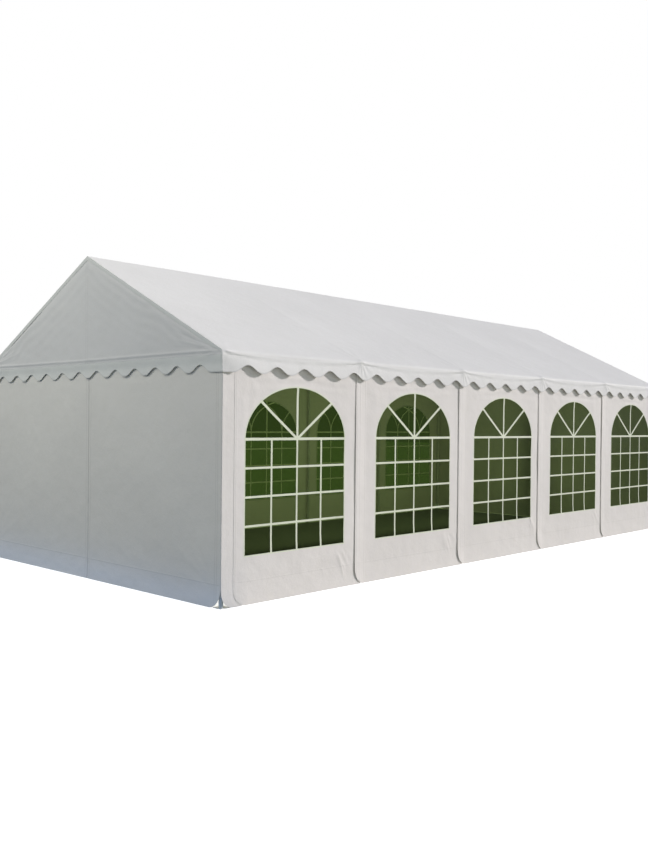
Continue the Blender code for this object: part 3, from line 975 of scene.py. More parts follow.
def panel_grid(width, radius, seams, window_left):
    """Places across a side panel, its heights, and which of its quads are left round the window."""
    window_right = window_left + WINDOW_WIDTH
    arch = arch_columns(window_left, 52)
    corner = radius * (1 - np.cos(np.linspace(0.0, math.pi / 2, 9)))
    s = merged(
        spread(0.0, window_left, 0.024), corner, around(seams), arch, spread(window_right, width, 0.024),
    )
    beside = (s <= window_left + TOUCH) | (s >= window_right - TOUCH)
    s = s[beside | np.isin(np.round(s, 5), np.round(arch, 5))]
    in_window = (s > window_left - TOUCH) & (s < window_right + TOUCH)
    low_rows = merged(spread(0.0, WINDOW_SILL, 0.025), around([SKIRT_SEAM]))
    mid_rows = spread(WINDOW_SILL, WINDOW_SPRING, 0.030)[1:]
    rows = [np.full(len(s), z) for z in np.concatenate((low_rows, mid_rows[:-1]))]
    top = np.where(in_window, window_top(s, window_left), WINDOW_SPRING)
    rows += [top + (WALL_TOP - top) * t for t in np.linspace(0.0, 1.0, 30)]
    sill_row = len(low_rows) - 1
    spring_row = sill_row + len(mid_rows)
    keep = np.ones((len(rows) - 1, len(s) - 1), bool)
    keep[sill_row:spring_row, in_window[:-1] & in_window[1:]] = False
    return s, np.array(rows), keep


def side_panel(context, side, bay):
    """One bay's wall sheet, with its window cut out and its free edge over its neighbour."""
    settings = context.scene.marquee_walls
    first = bay == 0
    left, right = panel_span(bay)
    width = right - left
    radius = END_HEM_R if first else HEM_R
    seams = [*(END_PANEL_SEAMS if first else PANEL_SEAMS), width - TAIL_SEAM]
    s, height, keep = panel_grid(width, radius, seams, window_start(bay) - left)
    lifted = lifted_hem(height, corner_lift(s, radius)[None, :], HEM_REACH)
    grid = np.broadcast_to(s, height.shape)
    out = panel_out(left + grid, lifted, bay, settings)
    ridges, marks = seam_lines(grid, seams, settings.weld * (0.5 if first else 1.0))
    skirt, skirt_mark = seam_lines(height, [SKIRT_SEAM], 0.5 * settings.weld)
    middle = smooth_step(grid / 0.06) * smooth_step((width - grid) / 0.03)
    out = out + np.maximum(ridges, skirt * middle) + skirt_flare(lifted)
    weld = np.maximum(0.6 * marks, 0.4 * skirt_mark)
    points = place(side, left + grid, out, lifted)
    flat = np.stack((grid + left, lifted), -1)
    name = f"{side}_panel_{bay + 1}"
    obj = grid_object(f"{name}_sheet", points, flat, wall_finish(context.scene), weld, keep)
    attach(obj, "root")
    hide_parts(name)


def panel_out(along, height, bay, settings):
    """How far a side panel stands out, with its lap over the neighbour and its creases."""
    first, last = bay == 0, bay == BAYS - 1
    left, right = panel_span(bay)
    s, width = along - left, right - left
    seed = 100 + 10 * bay
    out = hang(s, height, seed, settings.crease)
    if first:
        lap = np.interp(s, *TAIL_LAP)
    else:
        lap = np.interp(s, *FREE_LAP)
        flare = 1 + 0.5 * hump(height, 0.30) + 0.22 * soft_noise(s, height, 5.0, 0.45, seed + 5)
        lap = lap * flare
    if last:
        lap = np.maximum(lap, np.interp(width - s, *TAIL_LAP))
    inner = smooth_step((s - 0.11) / 0.09 if first else s / 0.20) * smooth_step((width - s) / 0.16)
    out = out * (0.04 + 0.96 * inner) * smooth_step((height + 0.05) / 0.12)
    window_right = window_start(bay) + WINDOW_WIDTH - left
    rng = np.random.RandomState(seed)
    for _ in range(5):
        start = (window_right + rng.uniform(-0.15, 0.05), WINDOW_SILL + rng.uniform(-0.08, 0.02))
        angle = rng.uniform(-75, -40)
        length = rng.uniform(0.22, 0.42)
        out = out + settings.crease * 2.3 * fold_ray(s, height, start, angle, length, 0.012)
    for _ in range(4):
        start = (window_right - WINDOW_WIDTH * rng.uniform(0.75, 1.0), rng.uniform(2.26, 2.36))
        angle = rng.uniform(-60, -15)
        length = rng.uniform(0.18, 0.3)
        out = out + settings.crease * 0.9 * fold_ray(s, height, start, angle, length, 0.010)
    for _ in range(0 if first else 4):
        start = (rng.uniform(0.05, 0.20), rng.uniform(0.4, 2.1))
        angle = rng.uniform(-35, 35)
        length = rng.uniform(0.12, 0.26)
        out = out + settings.crease * 0.7 * fold_ray(s, height, start, angle, length, 0.010)
    over_window = hump(s - width / 2, 0.75) * smooth_step((height - 2.15) / 0.1)
    ripple = np.sin((height - 2.2) * 60 + 2.5 * soft_noise(s, height, 0.6, 3.0, seed + 6))
    out = out + settings.crease * 0.8 * over_window * ripple
    return lap + np.maximum(out, -0.003)


def gable_grid():
    """Places across half a gable wall, its heights, and those with the corner's notch in its foot."""
    arc = 1 - np.cos(np.linspace(0.0, math.pi / 2, 9))
    notch = (WRAP_CORNER - NOTCH_HALF, WRAP_CORNER + NOTCH_HALF)
    s = merged(
        [0.0, 0.004, 0.009, 0.016, 0.026], spread(0.03, WRAP_END, 0.026), around(GABLE_SEAMS),
        notch[0] - NOTCH_R[0] * arc, notch[1] + NOTCH_R[1] * arc, [WRAP_CORNER, *notch],
        [WRAP_START + WRAP_TURN * i / 6 for i in range(7)],
    )
    rows = merged(spread(0.0, WALL_TOP, 0.030), around([SKIRT_SEAM]), [0.01, 0.02])
    off = np.abs(s - WRAP_CORNER)
    radius = np.where(s < WRAP_CORNER, NOTCH_R[0], NOTCH_R[1])
    lift = np.where(off < NOTCH_HALF, NOTCH_TOP, corner_lift(off - NOTCH_HALF, radius))
    level = np.broadcast_to(rows[:, None], (len(rows), len(s)))
    return s, level, lifted_hem(level, lift, SKIRT_SEAM)


def gable_out(grid, height, seed, strip_depth, settings):
    """How far half a gable wall stands out: its soft folds, its strip and its closing line."""
    out = hang(grid, height, seed, settings.crease * 1.25)
    out = out * smooth_step((height + 0.05) / 0.12)
    out = out * smooth_step(grid / 0.05) * smooth_step((WRAP_END - grid) / 0.10 + 0.25)
    out = np.maximum(out, -0.003)
    out = out * (1 - 0.8 * hump(grid - WRAP_CORNER, 0.05))
    on_strip = grid > WRAP_START + WRAP_TURN
    out = np.where(on_strip, np.minimum(out * 0.2, 0.0001), out)
    out = out - strip_depth * smooth_step((grid - WRAP_START - WRAP_TURN) / 0.05)
    out = out - CLOSING_GROOVE * hump(grid, 0.010)
    for angle, length in FOOT_FOLDS:
        fold = fold_ray(grid, height, (WRAP_CORNER - 0.04, 0.16), angle, length, 0.026)
        out = out + settings.crease * 1.1 * fold * smooth_step((WRAP_CORNER - grid) / 0.1)
    lower = hump(height - 0.10, 0.10) * smooth_step((WRAP_CORNER - grid) / 0.3)
    return out + settings.crease * 0.8 * lower * soft_noise(grid, height, 0.20, 0.035, seed + 7)


def gable_wall(context, side, half_name):
    """Half of a gable wall. It wraps round the corner post onto the long side."""
    settings = context.scene.marquee_walls
    forward = (side == "left") == (half_name == "front")
    seed = 300 + 40 * ("left", "right").index(side) + 20 * ("front", "rear").index(half_name)
    s, level, height = gable_grid()
    grid = np.broadcast_to(s, height.shape)
    strip_depth = STRIP_UNDER_HEM if forward else STRIP_UNDER_WINDOW
    out = gable_out(grid, height, seed, strip_depth, settings)
    ridges, marks = seam_lines(grid, GABLE_SEAMS, settings.weld)
    skirt, skirt_mark = seam_lines(level, [SKIRT_SEAM], 1.1 * settings.weld)
    on_gable = smooth_step((WRAP_START - grid) / 0.03)
    out = out + np.maximum(ridges, skirt * on_gable) + skirt_flare(height) * (1 - 0.03 * (1 - on_gable))
    weld = np.maximum(1.2 * marks, 0.9 * skirt_mark * on_gable)
    # Painted shade: the closing line between the two halves is darkened like the shaded gap there
    weld = np.maximum(weld, 3.0 * ridge(grid, 0.010))
    angle = np.clip((grid - WRAP_START) / WRAP_R, 0.0, math.pi / 2)
    along = np.minimum(grid, WRAP_START) + WRAP_R * np.sin(angle) + CLOSING_GAP
    wall_out = -WRAP_R * (1 - np.cos(angle)) - np.clip(grid - WRAP_START - WRAP_TURN, 0.0, None)
    along = along + out * np.sin(angle)
    wall_out = wall_out + out * np.cos(angle)
    points = place(side, along if forward else -along, wall_out, height)
    flat = np.stack((grid, height), -1)
    if not forward:
        points, flat, weld = points[:, ::-1], flat[:, ::-1], weld[:, ::-1]
    name = f"{side}_gable_wall_{half_name}"
    obj = grid_object(f"{name}_sheet", points, flat, wall_finish(context.scene), weld)
    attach(obj, "root")
    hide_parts(name)


# Windows


def film(context, side, bay):
    """One window's film, a little slack behind the panel's opening."""
    left = window_start(bay)
    s = arch_columns(left, 40, FILM_LAP)
    top = window_top(s, left, FILM_LAP)
    rows = [np.full(len(s), z) for z in spread(WINDOW_SILL - FILM_LAP, WINDOW_SPRING, 0.045)]
    rows += [WINDOW_SPRING + (top - WINDOW_SPRING) * t for t in np.linspace(0.0, 1.0, 14)[1:]]
    height = np.array(rows)
    grid = np.broadcast_to(s, height.shape)
    points = place(side, grid, film_out(grid, height, bay, context.scene.marquee_walls), height)
    flat = np.stack((grid, height), -1)
    name = f"{side}_window_{bay + 1}"
    obj = grid_object(f"{name}_film", points, flat, film_finish(context.scene), thickness=0)
    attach(obj, "root")
    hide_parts(name)


def arc_points(centre, radii, start, end, count):
    """Points on an arc of an ellipse, between two angles in degrees."""
    angles = np.radians(np.linspace(start, end, count + 1))
    return [(centre[0] + radii[0] * math.cos(a), centre[1] + radii[1] * math.sin(a)) for a in angles]


def bar_lines(traceried):
    """Centre lines of a window's bars and of its rim, about the middle of the window."""
    half = WINDOW_WIDTH / 2
    column = WINDOW_WIDTH / WINDOW_COLUMNS
    row = (WINDOW_SPRING - WINDOW_SILL) / WINDOW_ROWS
    thin, wide = [], []
    for i in range(1 - WINDOW_COLUMNS // 2, WINDOW_COLUMNS // 2):
        thin.append([(i * column, WINDOW_SILL), (i * column, WINDOW_SPRING)])
    for i in range(1, WINDOW_ROWS):
        z = WINDOW_SILL + row * i
        thin.append([(-half, z), (half, z)])
    wide.append([(-half, WINDOW_SPRING), (half, WINDOW_SPRING)])
    wide.append([(0.0, WINDOW_SPRING), (0.0, WINDOW_SPRING + WINDOW_RISE)])
    if traceried:
        for i in (-1, 1):
            for centre, end in ((column - half, 75.5), (column + half, 138.6)):
                start = 0 if centre < 0 else 180
                arc = arc_points((centre, WINDOW_SPRING), (half, WINDOW_RISE), start, end, 14)
                thin.append([(i * x, z) for x, z in arc])
    else:
        for angle in (45, 135):
            a = math.radians(angle)
            end = (half * math.cos(a), WINDOW_SPRING + WINDOW_RISE * math.sin(a))
            wide.append([(0.0, WINDOW_SPRING), end])
    arch = arc_points((0.0, WINDOW_SPRING), (half, WINDOW_RISE), 180, 0, 48)
    rim = [(-half, WINDOW_SILL)] + arch + [(half, WINDOW_SILL), (-half, WINDOW_SILL)]
    return thin, wide, rim


def node_group(name, sockets):
    """A Geometry Nodes group with its named inputs, and its entry and exit nodes."""
    tree = bpy.data.node_groups.new(name, "GeometryNodeTree")
    tree.interface.new_socket("Geometry", in_out="INPUT", socket_type="NodeSocketGeometry")
    for label, kind in sockets:
        tree.interface.new_socket(label, in_out="INPUT", socket_type=kind)
    tree.interface.new_socket("Geometry", in_out="OUTPUT", socket_type="NodeSocketGeometry")
    return tree, tree.nodes.new("NodeGroupInput"), tree.nodes.new("NodeGroupOutput")


def end_tree(tree, geometry, leave, material):
    """Realises the instances, sets the material and ends the group."""
    realize = tree.nodes.new("GeometryNodeRealizeInstances")
    tree.links.new(geometry, realize.inputs["Geometry"])
    paint = tree.nodes.new("GeometryNodeSetMaterial")
    paint.inputs["Material"].default_value = material
    tree.links.new(realize.outputs["Geometry"], paint.inputs["Geometry"])
    tree.links.new(paint.outputs["Geometry"], leave.inputs["Geometry"])
    return tree


def grown(name, guide, tree, values, material):
    """The mesh that a Geometry Nodes group makes on a guide mesh, as a finished object."""
    obj = bpy.data.objects.new(name, guide)
    bpy.context.scene.collection.objects.link(obj)
    mod = obj.modifiers.new("nodes", "NODES")
    mod.node_group = tree
    for item in tree.interface.items_tree:
        if item.item_type == "SOCKET" and item.in_out == "INPUT" and item.name in values:
            mod[item.identifier] = values[item.name]
    depsgraph = bpy.context.evaluated_depsgraph_get()
    mesh = bpy.data.meshes.new_from_object(obj.evaluated_get(depsgraph), depsgraph=depsgraph)
    obj.modifiers.clear()
    obj.data = mesh
    mesh.name = name
    mesh.shade_flat()
    bpy.data.meshes.remove(guide)
    if not mesh.materials:
        mesh.materials.append(material)
    return obj


def strip_tree(material):
    """Flat strips along lines. Each guide point carries the way that its strip faces."""
    sockets = (("Width", "NodeSocketFloat"), ("Thickness", "NodeSocketFloat"))
    tree, entry, leave = node_group("strips", sockets)
    nodes, links = tree.nodes, tree.links
    to_curve = nodes.new("GeometryNodeMeshToCurve")
    links.new(entry.outputs["Geometry"], to_curve.inputs["Mesh"])
    facing = nodes.new("GeometryNodeInputNamedAttribute")
    facing.data_type = "FLOAT_VECTOR"
    facing.inputs["Name"].default_value = "facing"
    normal = nodes.new("GeometryNodeSetCurveNormal")
    normal.mode = "FREE"
    links.new(to_curve.outputs["Curve"], normal.inputs["Curve"])
    links.new(facing.outputs["Attribute"], normal.inputs["Normal"])
    profile = nodes.new("GeometryNodeCurvePrimitiveQuadrilateral")
    links.new(entry.outputs["Thickness"], profile.inputs["Width"])
    links.new(entry.outputs["Width"], profile.inputs["Height"])
    sweep = nodes.new("GeometryNodeCurveToMesh")
    sweep.inputs["Fill Caps"].default_value = True
    links.new(normal.outputs["Curve"], sweep.inputs["Curve"])
    links.new(profile.outputs["Curve"], sweep.inputs["Profile Curve"])
    return end_tree(tree, sweep.outputs["Mesh"], leave, material)


def line_mesh(lines, facing):
    """A guide mesh of joined points for each line. A line that ends where it starts is closed."""
    points, edges = [], []
    for line in lines:
        closed = np.allclose(line[0], line[-1])
        count = len(line) - 1 if closed else len(line)
        start = len(points)
        points += [tuple(p) for p in line[:count]]
        edges += [(start + i, start + i + 1) for i in range(count - 1)]
        if closed:
            edges.append((start + count - 1, start))
    mesh = bpy.data.meshes.new("guide")
    mesh.from_pydata(points, edges, [])
    attribute = mesh.attributes.new("facing", "FLOAT_VECTOR", "POINT")
    attribute.data.foreach_set("vector", np.tile(np.array(facing, dtype=np.float32), len(points)))
    return mesh


def denser(line, step):
    """A line with points added so that none is further than a step from the next."""
    out = [line[0]]
    for a, b in zip(line, line[1:]):
        count = max(1, int(math.ceil(math.dist(a, b) / step)))
        for i in range(1, count + 1):
            out.append((a[0] + (b[0] - a[0]) * i / count, a[1] + (b[1] - a[1]) * i / count))
    return np.array(out)


def film_out(along, height, bay, walls):
    """How far a window's film stands out: its border is welded behind the wall, its middle is slack."""
    half = WINDOW_WIDTH / 2
    across = along - (window_start(bay) + half)
    radius = np.hypot(across / half, (height - WINDOW_SPRING) / WINDOW_RISE)
    edge = np.where(height > WINDOW_SPRING, (1 - radius) * WINDOW_RISE, half - np.abs(across))
    inner = smooth_step(np.minimum(edge, height - WINDOW_SILL) / 0.15)
    border = panel_out(along, height, bay, walls) - FILM_BEHIND
    slack = FILM_WAVE * (soft_noise(along, height, 0.4, 0.5, 500 + bay) - 1.0) - FILM_SLACK
    return border + (slack - border) * inner


def window_bars(context, side, bay, tree):
    """The white bars on one window's film, and the welded rim round it."""
    settings = context.scene.marquee_windows
    walls = context.scene.marquee_walls
    middle = window_start(bay) + WINDOW_WIDTH / 2
    thin, wide, rim = bar_lines(side == "rear")
    facing = place(side, 0.0, 1.0, 0.0) - place(side, 0.0, 0.0, 0.0)
    window = f"{side}_window_{bay + 1}"
    material = bar_finish(context.scene)
    made = []
    for name, bars, share, lift in (("lattice", thin, 1.0, 0.0), ("bars", wide, 1.25, 0.0004)):
        lines = []
        for i, bar in enumerate(bars):
            line = denser(bar, BAR_STEP)
            out = film_out(middle + line[:, 0], line[:, 1], bay, walls) + lift + 0.0001 * (i % 3)
            lines.append(place(side, middle + line[:, 0], out, line[:, 1]))
        values = {"Width": share * settings.bar_width, "Thickness": 2 * settings.bar_thickness + 0.001}
        made.append(grown(f"{window}_{name}", line_mesh(lines, facing), tree, values, material))
    line = denser(rim, RIM_STEP)
    grow = RIM_OUTSIDE * settings.rim_width
    line[:, 0] *= 1 + grow / (WINDOW_WIDTH / 2)
    tall = WINDOW_SPRING + WINDOW_RISE - WINDOW_SILL
    line[:, 1] = WINDOW_SILL - grow + (line[:, 1] - WINDOW_SILL) * (1 + 2 * grow / tall)
    wall = panel_out(middle + line[:, 0], line[:, 1], bay, walls)
    points = place(side, middle + line[:, 0], wall + RIM_STAND - RIM_THICKNESS / 2, line[:, 1])
    values = {"Width": settings.rim_width, "Thickness": RIM_THICKNESS}
    made.append(grown(f"{window}_rim", line_mesh([points], facing), tree, values, material))
    for obj in made:
        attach(obj, "root")


# Steel


def bolt_tree(material):
    """Bolt heads with washers on guide points, each turned the way its point faces."""
    sockets = (("Radius", "NodeSocketFloat"), ("Height", "NodeSocketFloat"), ("Sides", "NodeSocketInt"))
    tree, entry, leave = node_group("bolts", sockets)
    nodes, links = tree.nodes, tree.links
    head = nodes.new("GeometryNodeMeshCylinder")
    links.new(entry.outputs["Sides"], head.inputs["Vertices"])
    links.new(entry.outputs["Radius"], head.inputs["Radius"])
    links.new(entry.outputs["Height"], head.inputs["Depth"])
    rise = nodes.new("ShaderNodeMath")
    rise.operation = "MULTIPLY"
    rise.inputs[1].default_value = HEAD_RISE
    links.new(entry.outputs["Height"], rise.inputs[0])
    up = nodes.new("ShaderNodeCombineXYZ")
    links.new(rise.outputs["Value"], up.inputs["Z"])
    lift = nodes.new("GeometryNodeTransform")
    links.new(head.outputs["Mesh"], lift.inputs["Geometry"])
    links.new(up.outputs["Vector"], lift.inputs["Translation"])
    wide = nodes.new("ShaderNodeMath")
    wide.operation = "MULTIPLY"
    wide.inputs[1].default_value = WASHER_WIDENING
    links.new(entry.outputs["Radius"], wide.inputs[0])
    washer = nodes.new("GeometryNodeMeshCylinder")
    washer.inputs["Vertices"].default_value = WASHER_SIDES
    washer.inputs["Depth"].default_value = WASHER_THICKNESS
    links.new(wide.outputs["Value"], washer.inputs["Radius"])
    both = nodes.new("GeometryNodeJoinGeometry")
    links.new(lift.outputs["Geometry"], both.inputs["Geometry"])
    links.new(washer.outputs["Mesh"], both.inputs["Geometry"])
    facing = nodes.new("GeometryNodeInputNamedAttribute")
    facing.data_type = "FLOAT_VECTOR"
    facing.inputs["Name"].default_value = "facing"
    turn = nodes.new("FunctionNodeAlignRotationToVector")
    turn.axis = "Z"
    links.new(facing.outputs["Attribute"], turn.inputs["Vector"])
    points = nodes.new("GeometryNodeInstanceOnPoints")
    links.new(entry.outputs["Geometry"], points.inputs["Points"])
    links.new(both.outputs["Geometry"], points.inputs["Instance"])
    links.new(turn.outputs["Rotation"], points.inputs["Rotation"])
    return end_tree(tree, points.outputs["Instances"], leave, material)


def bolt_places():
    """Where a bolt's washer sits on each joint, and the way it faces."""
    places = []
    for outward in (-1, 1):
        y = outward * (WALL_Y - JOINT_INSIDE)
        inward = -outward
        face_y = y + inward * SOCKET_R
        lean = Vector((0, inward * math.sin(SLOPE), -math.cos(SLOPE)))
        along = Vector((0, inward * math.cos(SLOPE), math.sin(SLOPE)))
        for x in FRAMES:
            places.append(((x, face_y, POST_BOLT_HEIGHT), (0, inward, 0)))
            for turn in (-1, 1):
                if abs(x + turn * BOLT_REACH) < FRAMES[-1]:
                    places.append(((x + turn * BOLT_REACH, face_y, JOINT_HEIGHT), (0, inward, 0)))
            at = Vector((x, y, JOINT_HEIGHT)) + along * BOLT_REACH + lean * SOCKET_R
            places.append((tuple(at), tuple(lean)))
    return places


def joint_bolts(context):
    """The bolts with their washers on every joint, as one piece."""
    settings = context.scene.marquee_fittings
    places = bolt_places()
    mesh = bpy.data.meshes.new("guide")
    mesh.from_pydata([p for p, _ in places], [], [])
    attribute = mesh.attributes.new("facing", "FLOAT_VECTOR", "POINT")
    attribute.data.foreach_set("vector", np.array([f for _, f in places], dtype=np.float32).ravel())
    values = {"Radius": settings.bolt_radius, "Height": settings.bolt_height, "Sides": settings.bolt_sides}
    material = bolt_finish()
    obj = grown("joint_bolts", mesh, bolt_tree(material), values, material)
    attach(obj, "root")


def dress_steel(context):
    """The tubes keep their CAD shapes and get their zinc."""
    material = steel_finish()
    for name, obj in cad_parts.items():
        if any(word in name for word in ("post", "rafter", "rail", "tie")):
            obj.data.materials.clear()
            obj.data.materials.append(material)
            mod = obj.modifiers.new("edges", "BEVEL")
            mod.width = EDGE_BEVEL
            mod.segments = 1
            mod.limit_method = "ANGLE"


# Stage

# The camera: its turn in degrees (heading, tilt and roll), its place, its lens in mm and its shift
CAMERA_TURN = (41.993, -0.542, 0.600)
CAMERA_PLACE = (-10.470, -9.397, 1.861)
CAMERA_LENS = 36.527
CAMERA_SHIFT = -46 / 864

# Where the sunlight comes from, and the soft light high over the gable: its place and its direction
TOWARDS_KEY = (0.82, -0.44, 0.38)
TOWARDS_BACK = (-0.92, 0.29, 0.24)
WASH_PLACE = (-11.0, 2.4, 7.8)
WASH_WAY = (6.0, -2.2, -5.0)

# Share of the sunlight that comes through the sheets, and so throws no shadow
SHEET_SHARE = 0.05

# How wide the suns look, in degrees
KEY_WIDTH = 4.0
BACK_WIDTH = 8.0
WASH_WIDTH = 120.0

# Power of the light at the gable's foot beside the gable light, and of the one that lights the
# underside of the roof beside the inside glow
FOOT_SHARE = 0.0044
TOP_SHARE = 0.35

# How much the floor that shows shines by itself
FLOOR_GLOW = 0.62

# The floor's edges, with a stretch left of the tent and one inside it in colours of their own; on the
# bounce floor the stretch left of the tent is painted shade
FLOOR_X = (-60.0, -4.75, 4.97, 60.0)
FLOOR_Y = (-60.0, -4.0, -1.7, 2.44, 60.0)
FLOOR_WHITE = (0.93, 0.93, 0.93, 1.0)
FLOOR_INSIDE = (0.27, 0.28, 0.25, 1.0)
BOUNCE_OUTSIDE = (0.46, 0.47, 0.43, 1.0)
# Painted shade: the bounce floor's stretch left of the tent, dark and bluish like the tent's shade on the
# ground
BOUNCE_SHADED = (0.03, 0.09, 0.14, 1.0)
BOUNCE_INSIDE = (0.20, 0.21, 0.18, 1.0)

# The surround's colours from straight down, at 0, to straight up, at 1
SURROUND_DOWN = (0.40, 0.44, 0.44, 1.0)
SURROUND_UP = (0.10, 0.12, 0.16, 1.0)
SURROUND_BANDS = (
    (0.42, (0.50, 0.54, 0.52, 1.0)), (0.5, (0.62, 0.66, 0.63, 1.0)),
    (0.64, (0.56, 0.60, 0.62, 1.0)), (0.82, (0.20, 0.225, 0.275, 1.0)),
)


def add_camera(scene):
    """The photograph's camera, as fitted to the tent's corners."""
    yaw, pitch, roll = (math.radians(a) for a in CAMERA_TURN)
    ahead = Vector((math.cos(pitch) * math.cos(yaw), math.cos(pitch) * math.sin(yaw), math.sin(pitch)))
    right = Vector((math.sin(yaw), -math.cos(yaw), 0.0))
    up = right.cross(ahead)
    axis_x = right * math.cos(roll) + up * math.sin(roll)
    axis_y = -right * math.sin(roll) + up * math.cos(roll)
    turn = Matrix((axis_x, axis_y, -ahead)).transposed().to_4x4()
    data = bpy.data.cameras.new("camera")
    data.lens = CAMERA_LENS
    data.sensor_width = 36.0
    data.shift_x = CAMERA_SHIFT
    data.dof.use_dof = False
    camera = bpy.data.objects.new("camera", data)
    camera.matrix_world = Matrix.Translation(CAMERA_PLACE) @ turn
    scene.collection.objects.link(camera)
    scene.camera = camera


def add_sun(scene, name, towards, strength, angle, colour):
    """A sun. towards points from the tent to the sun."""
    data = bpy.data.lights.new(name, "SUN")
    data.energy = strength
    data.angle = math.radians(angle)
    data.color = colour
    light = bpy.data.objects.new(name, data)
    light.matrix_world = Vector(towards).to_track_quat("Z", "Y").to_matrix().to_4x4()
    scene.collection.objects.link(light)
    return light


def add_surround(scene, strength):
    """White behind the tent, and soft light from all round it: strongest near the horizon."""
    world = bpy.data.worlds.new("surround")
    scene.world = world
    world.use_nodes = True
    tree = world.node_tree
    leave = tree.nodes["World Output"]
    light = tree.nodes["Background"]
    backdrop = tree.nodes.new("ShaderNodeBackground")
    backdrop.inputs["Color"].default_value = (1.0, 1.0, 1.0, 1.0)
    path = tree.nodes.new("ShaderNodeLightPath")
    where = tree.nodes.new("ShaderNodeTexCoord")
    split = tree.nodes.new("ShaderNodeSeparateXYZ")
    tree.links.new(where.outputs["Generated"], split.inputs["Vector"])
    ramp = tree.nodes.new("ShaderNodeValToRGB")
    bands = ramp.color_ramp.elements
    bands[0].position = 0.0
    bands[0].color = SURROUND_DOWN
    bands[1].position = 1.0
    bands[1].color = SURROUND_UP
    for position, colour in SURROUND_BANDS:
        band = bands.new(position)
        band.color = colour
    levels = tree.nodes.new("ShaderNodeMapRange")
    levels.inputs["From Min"].default_value = -1.0
    tree.links.new(split.outputs["Z"], levels.inputs["Value"])
    tree.links.new(levels.outputs["Result"], ramp.inputs["Fac"])
    tree.links.new(ramp.outputs["Color"], light.inputs["Color"])
    light.inputs["Strength"].default_value = strength
    mix = tree.nodes.new("ShaderNodeMixShader")
    tree.links.new(path.outputs["Is Camera Ray"], mix.inputs["Fac"])
    tree.links.new(light.outputs["Background"], mix.inputs[1])
    tree.links.new(backdrop.outputs["Background"], mix.inputs[2])
    tree.links.new(mix.outputs["Shader"], leave.inputs["Surface"])


def add_floor(name, height, outside, shaded, inside, glow=0.0):
    """A level floor round the tent, with a colour of its own inside it, and one left of it that on the
    bounce floor is painted shade.
    """
    bm = bmesh.new()
    verts = [[bm.verts.new((x, y, height)) for x in FLOOR_X] for y in FLOOR_Y]
    for j in range(len(FLOOR_Y) - 1):
        for i in range(len(FLOOR_X) - 1):
            face = bm.faces.new((verts[j][i], verts[j][i + 1], verts[j + 1][i + 1], verts[j + 1][i]))
            # Faces left of the tent take the shaded colour, which on the bounce floor is painted shade
            face.material_index = 2 if (i, j) == (1, 2) else int(i == 0 and j > 0)
    floor = mesh_object(name, bm, floor_finish(name, outside, glow))
    floor.data.materials.append(floor_finish(f"{name}_shaded", shaded, glow))
    floor.data.materials.append(floor_finish(f"{name}_inside", inside, 0.0))
    return floor


def floor_finish(name, colour, glow):
    """A dull, faintly mottled floor. glow makes it shine a little by itself."""
    finish = Finish(name)
    where = finish.add("ShaderNodeTexCoord").outputs["Object"]
    tone = finish.levels(finish.noise(where, 0.6, 3.0), 0.3, 0.7, 0.0, 1.0)
    finish.link(finish.blend(tone, colour, shade(colour, 0.96)), finish.shader.inputs["Base Color"])
    finish.set(Roughness=1.0, Specular_IOR_Level=0.0, Emission_Strength=glow)
    finish.material.cycles.emission_sampling = "NONE"
    return finish.material


def add_panel_light(scene, name, place_at, towards, size, power, colour):
    """A soft rectangular light. Neither the camera nor a mirroring surface shows it."""
    data = bpy.data.lights.new(name, "AREA")
    data.shape = "RECTANGLE"
    data.size, data.size_y = size
    data.energy = power
    data.color = colour
    light = bpy.data.objects.new(name, data)
    turn = (-Vector(towards)).to_track_quat("Z", "Y").to_matrix().to_4x4()
    light.matrix_world = Matrix.Translation(place_at) @ turn
    light.visible_camera = False
    light.visible_glossy = False
    scene.collection.objects.link(light)
    return light


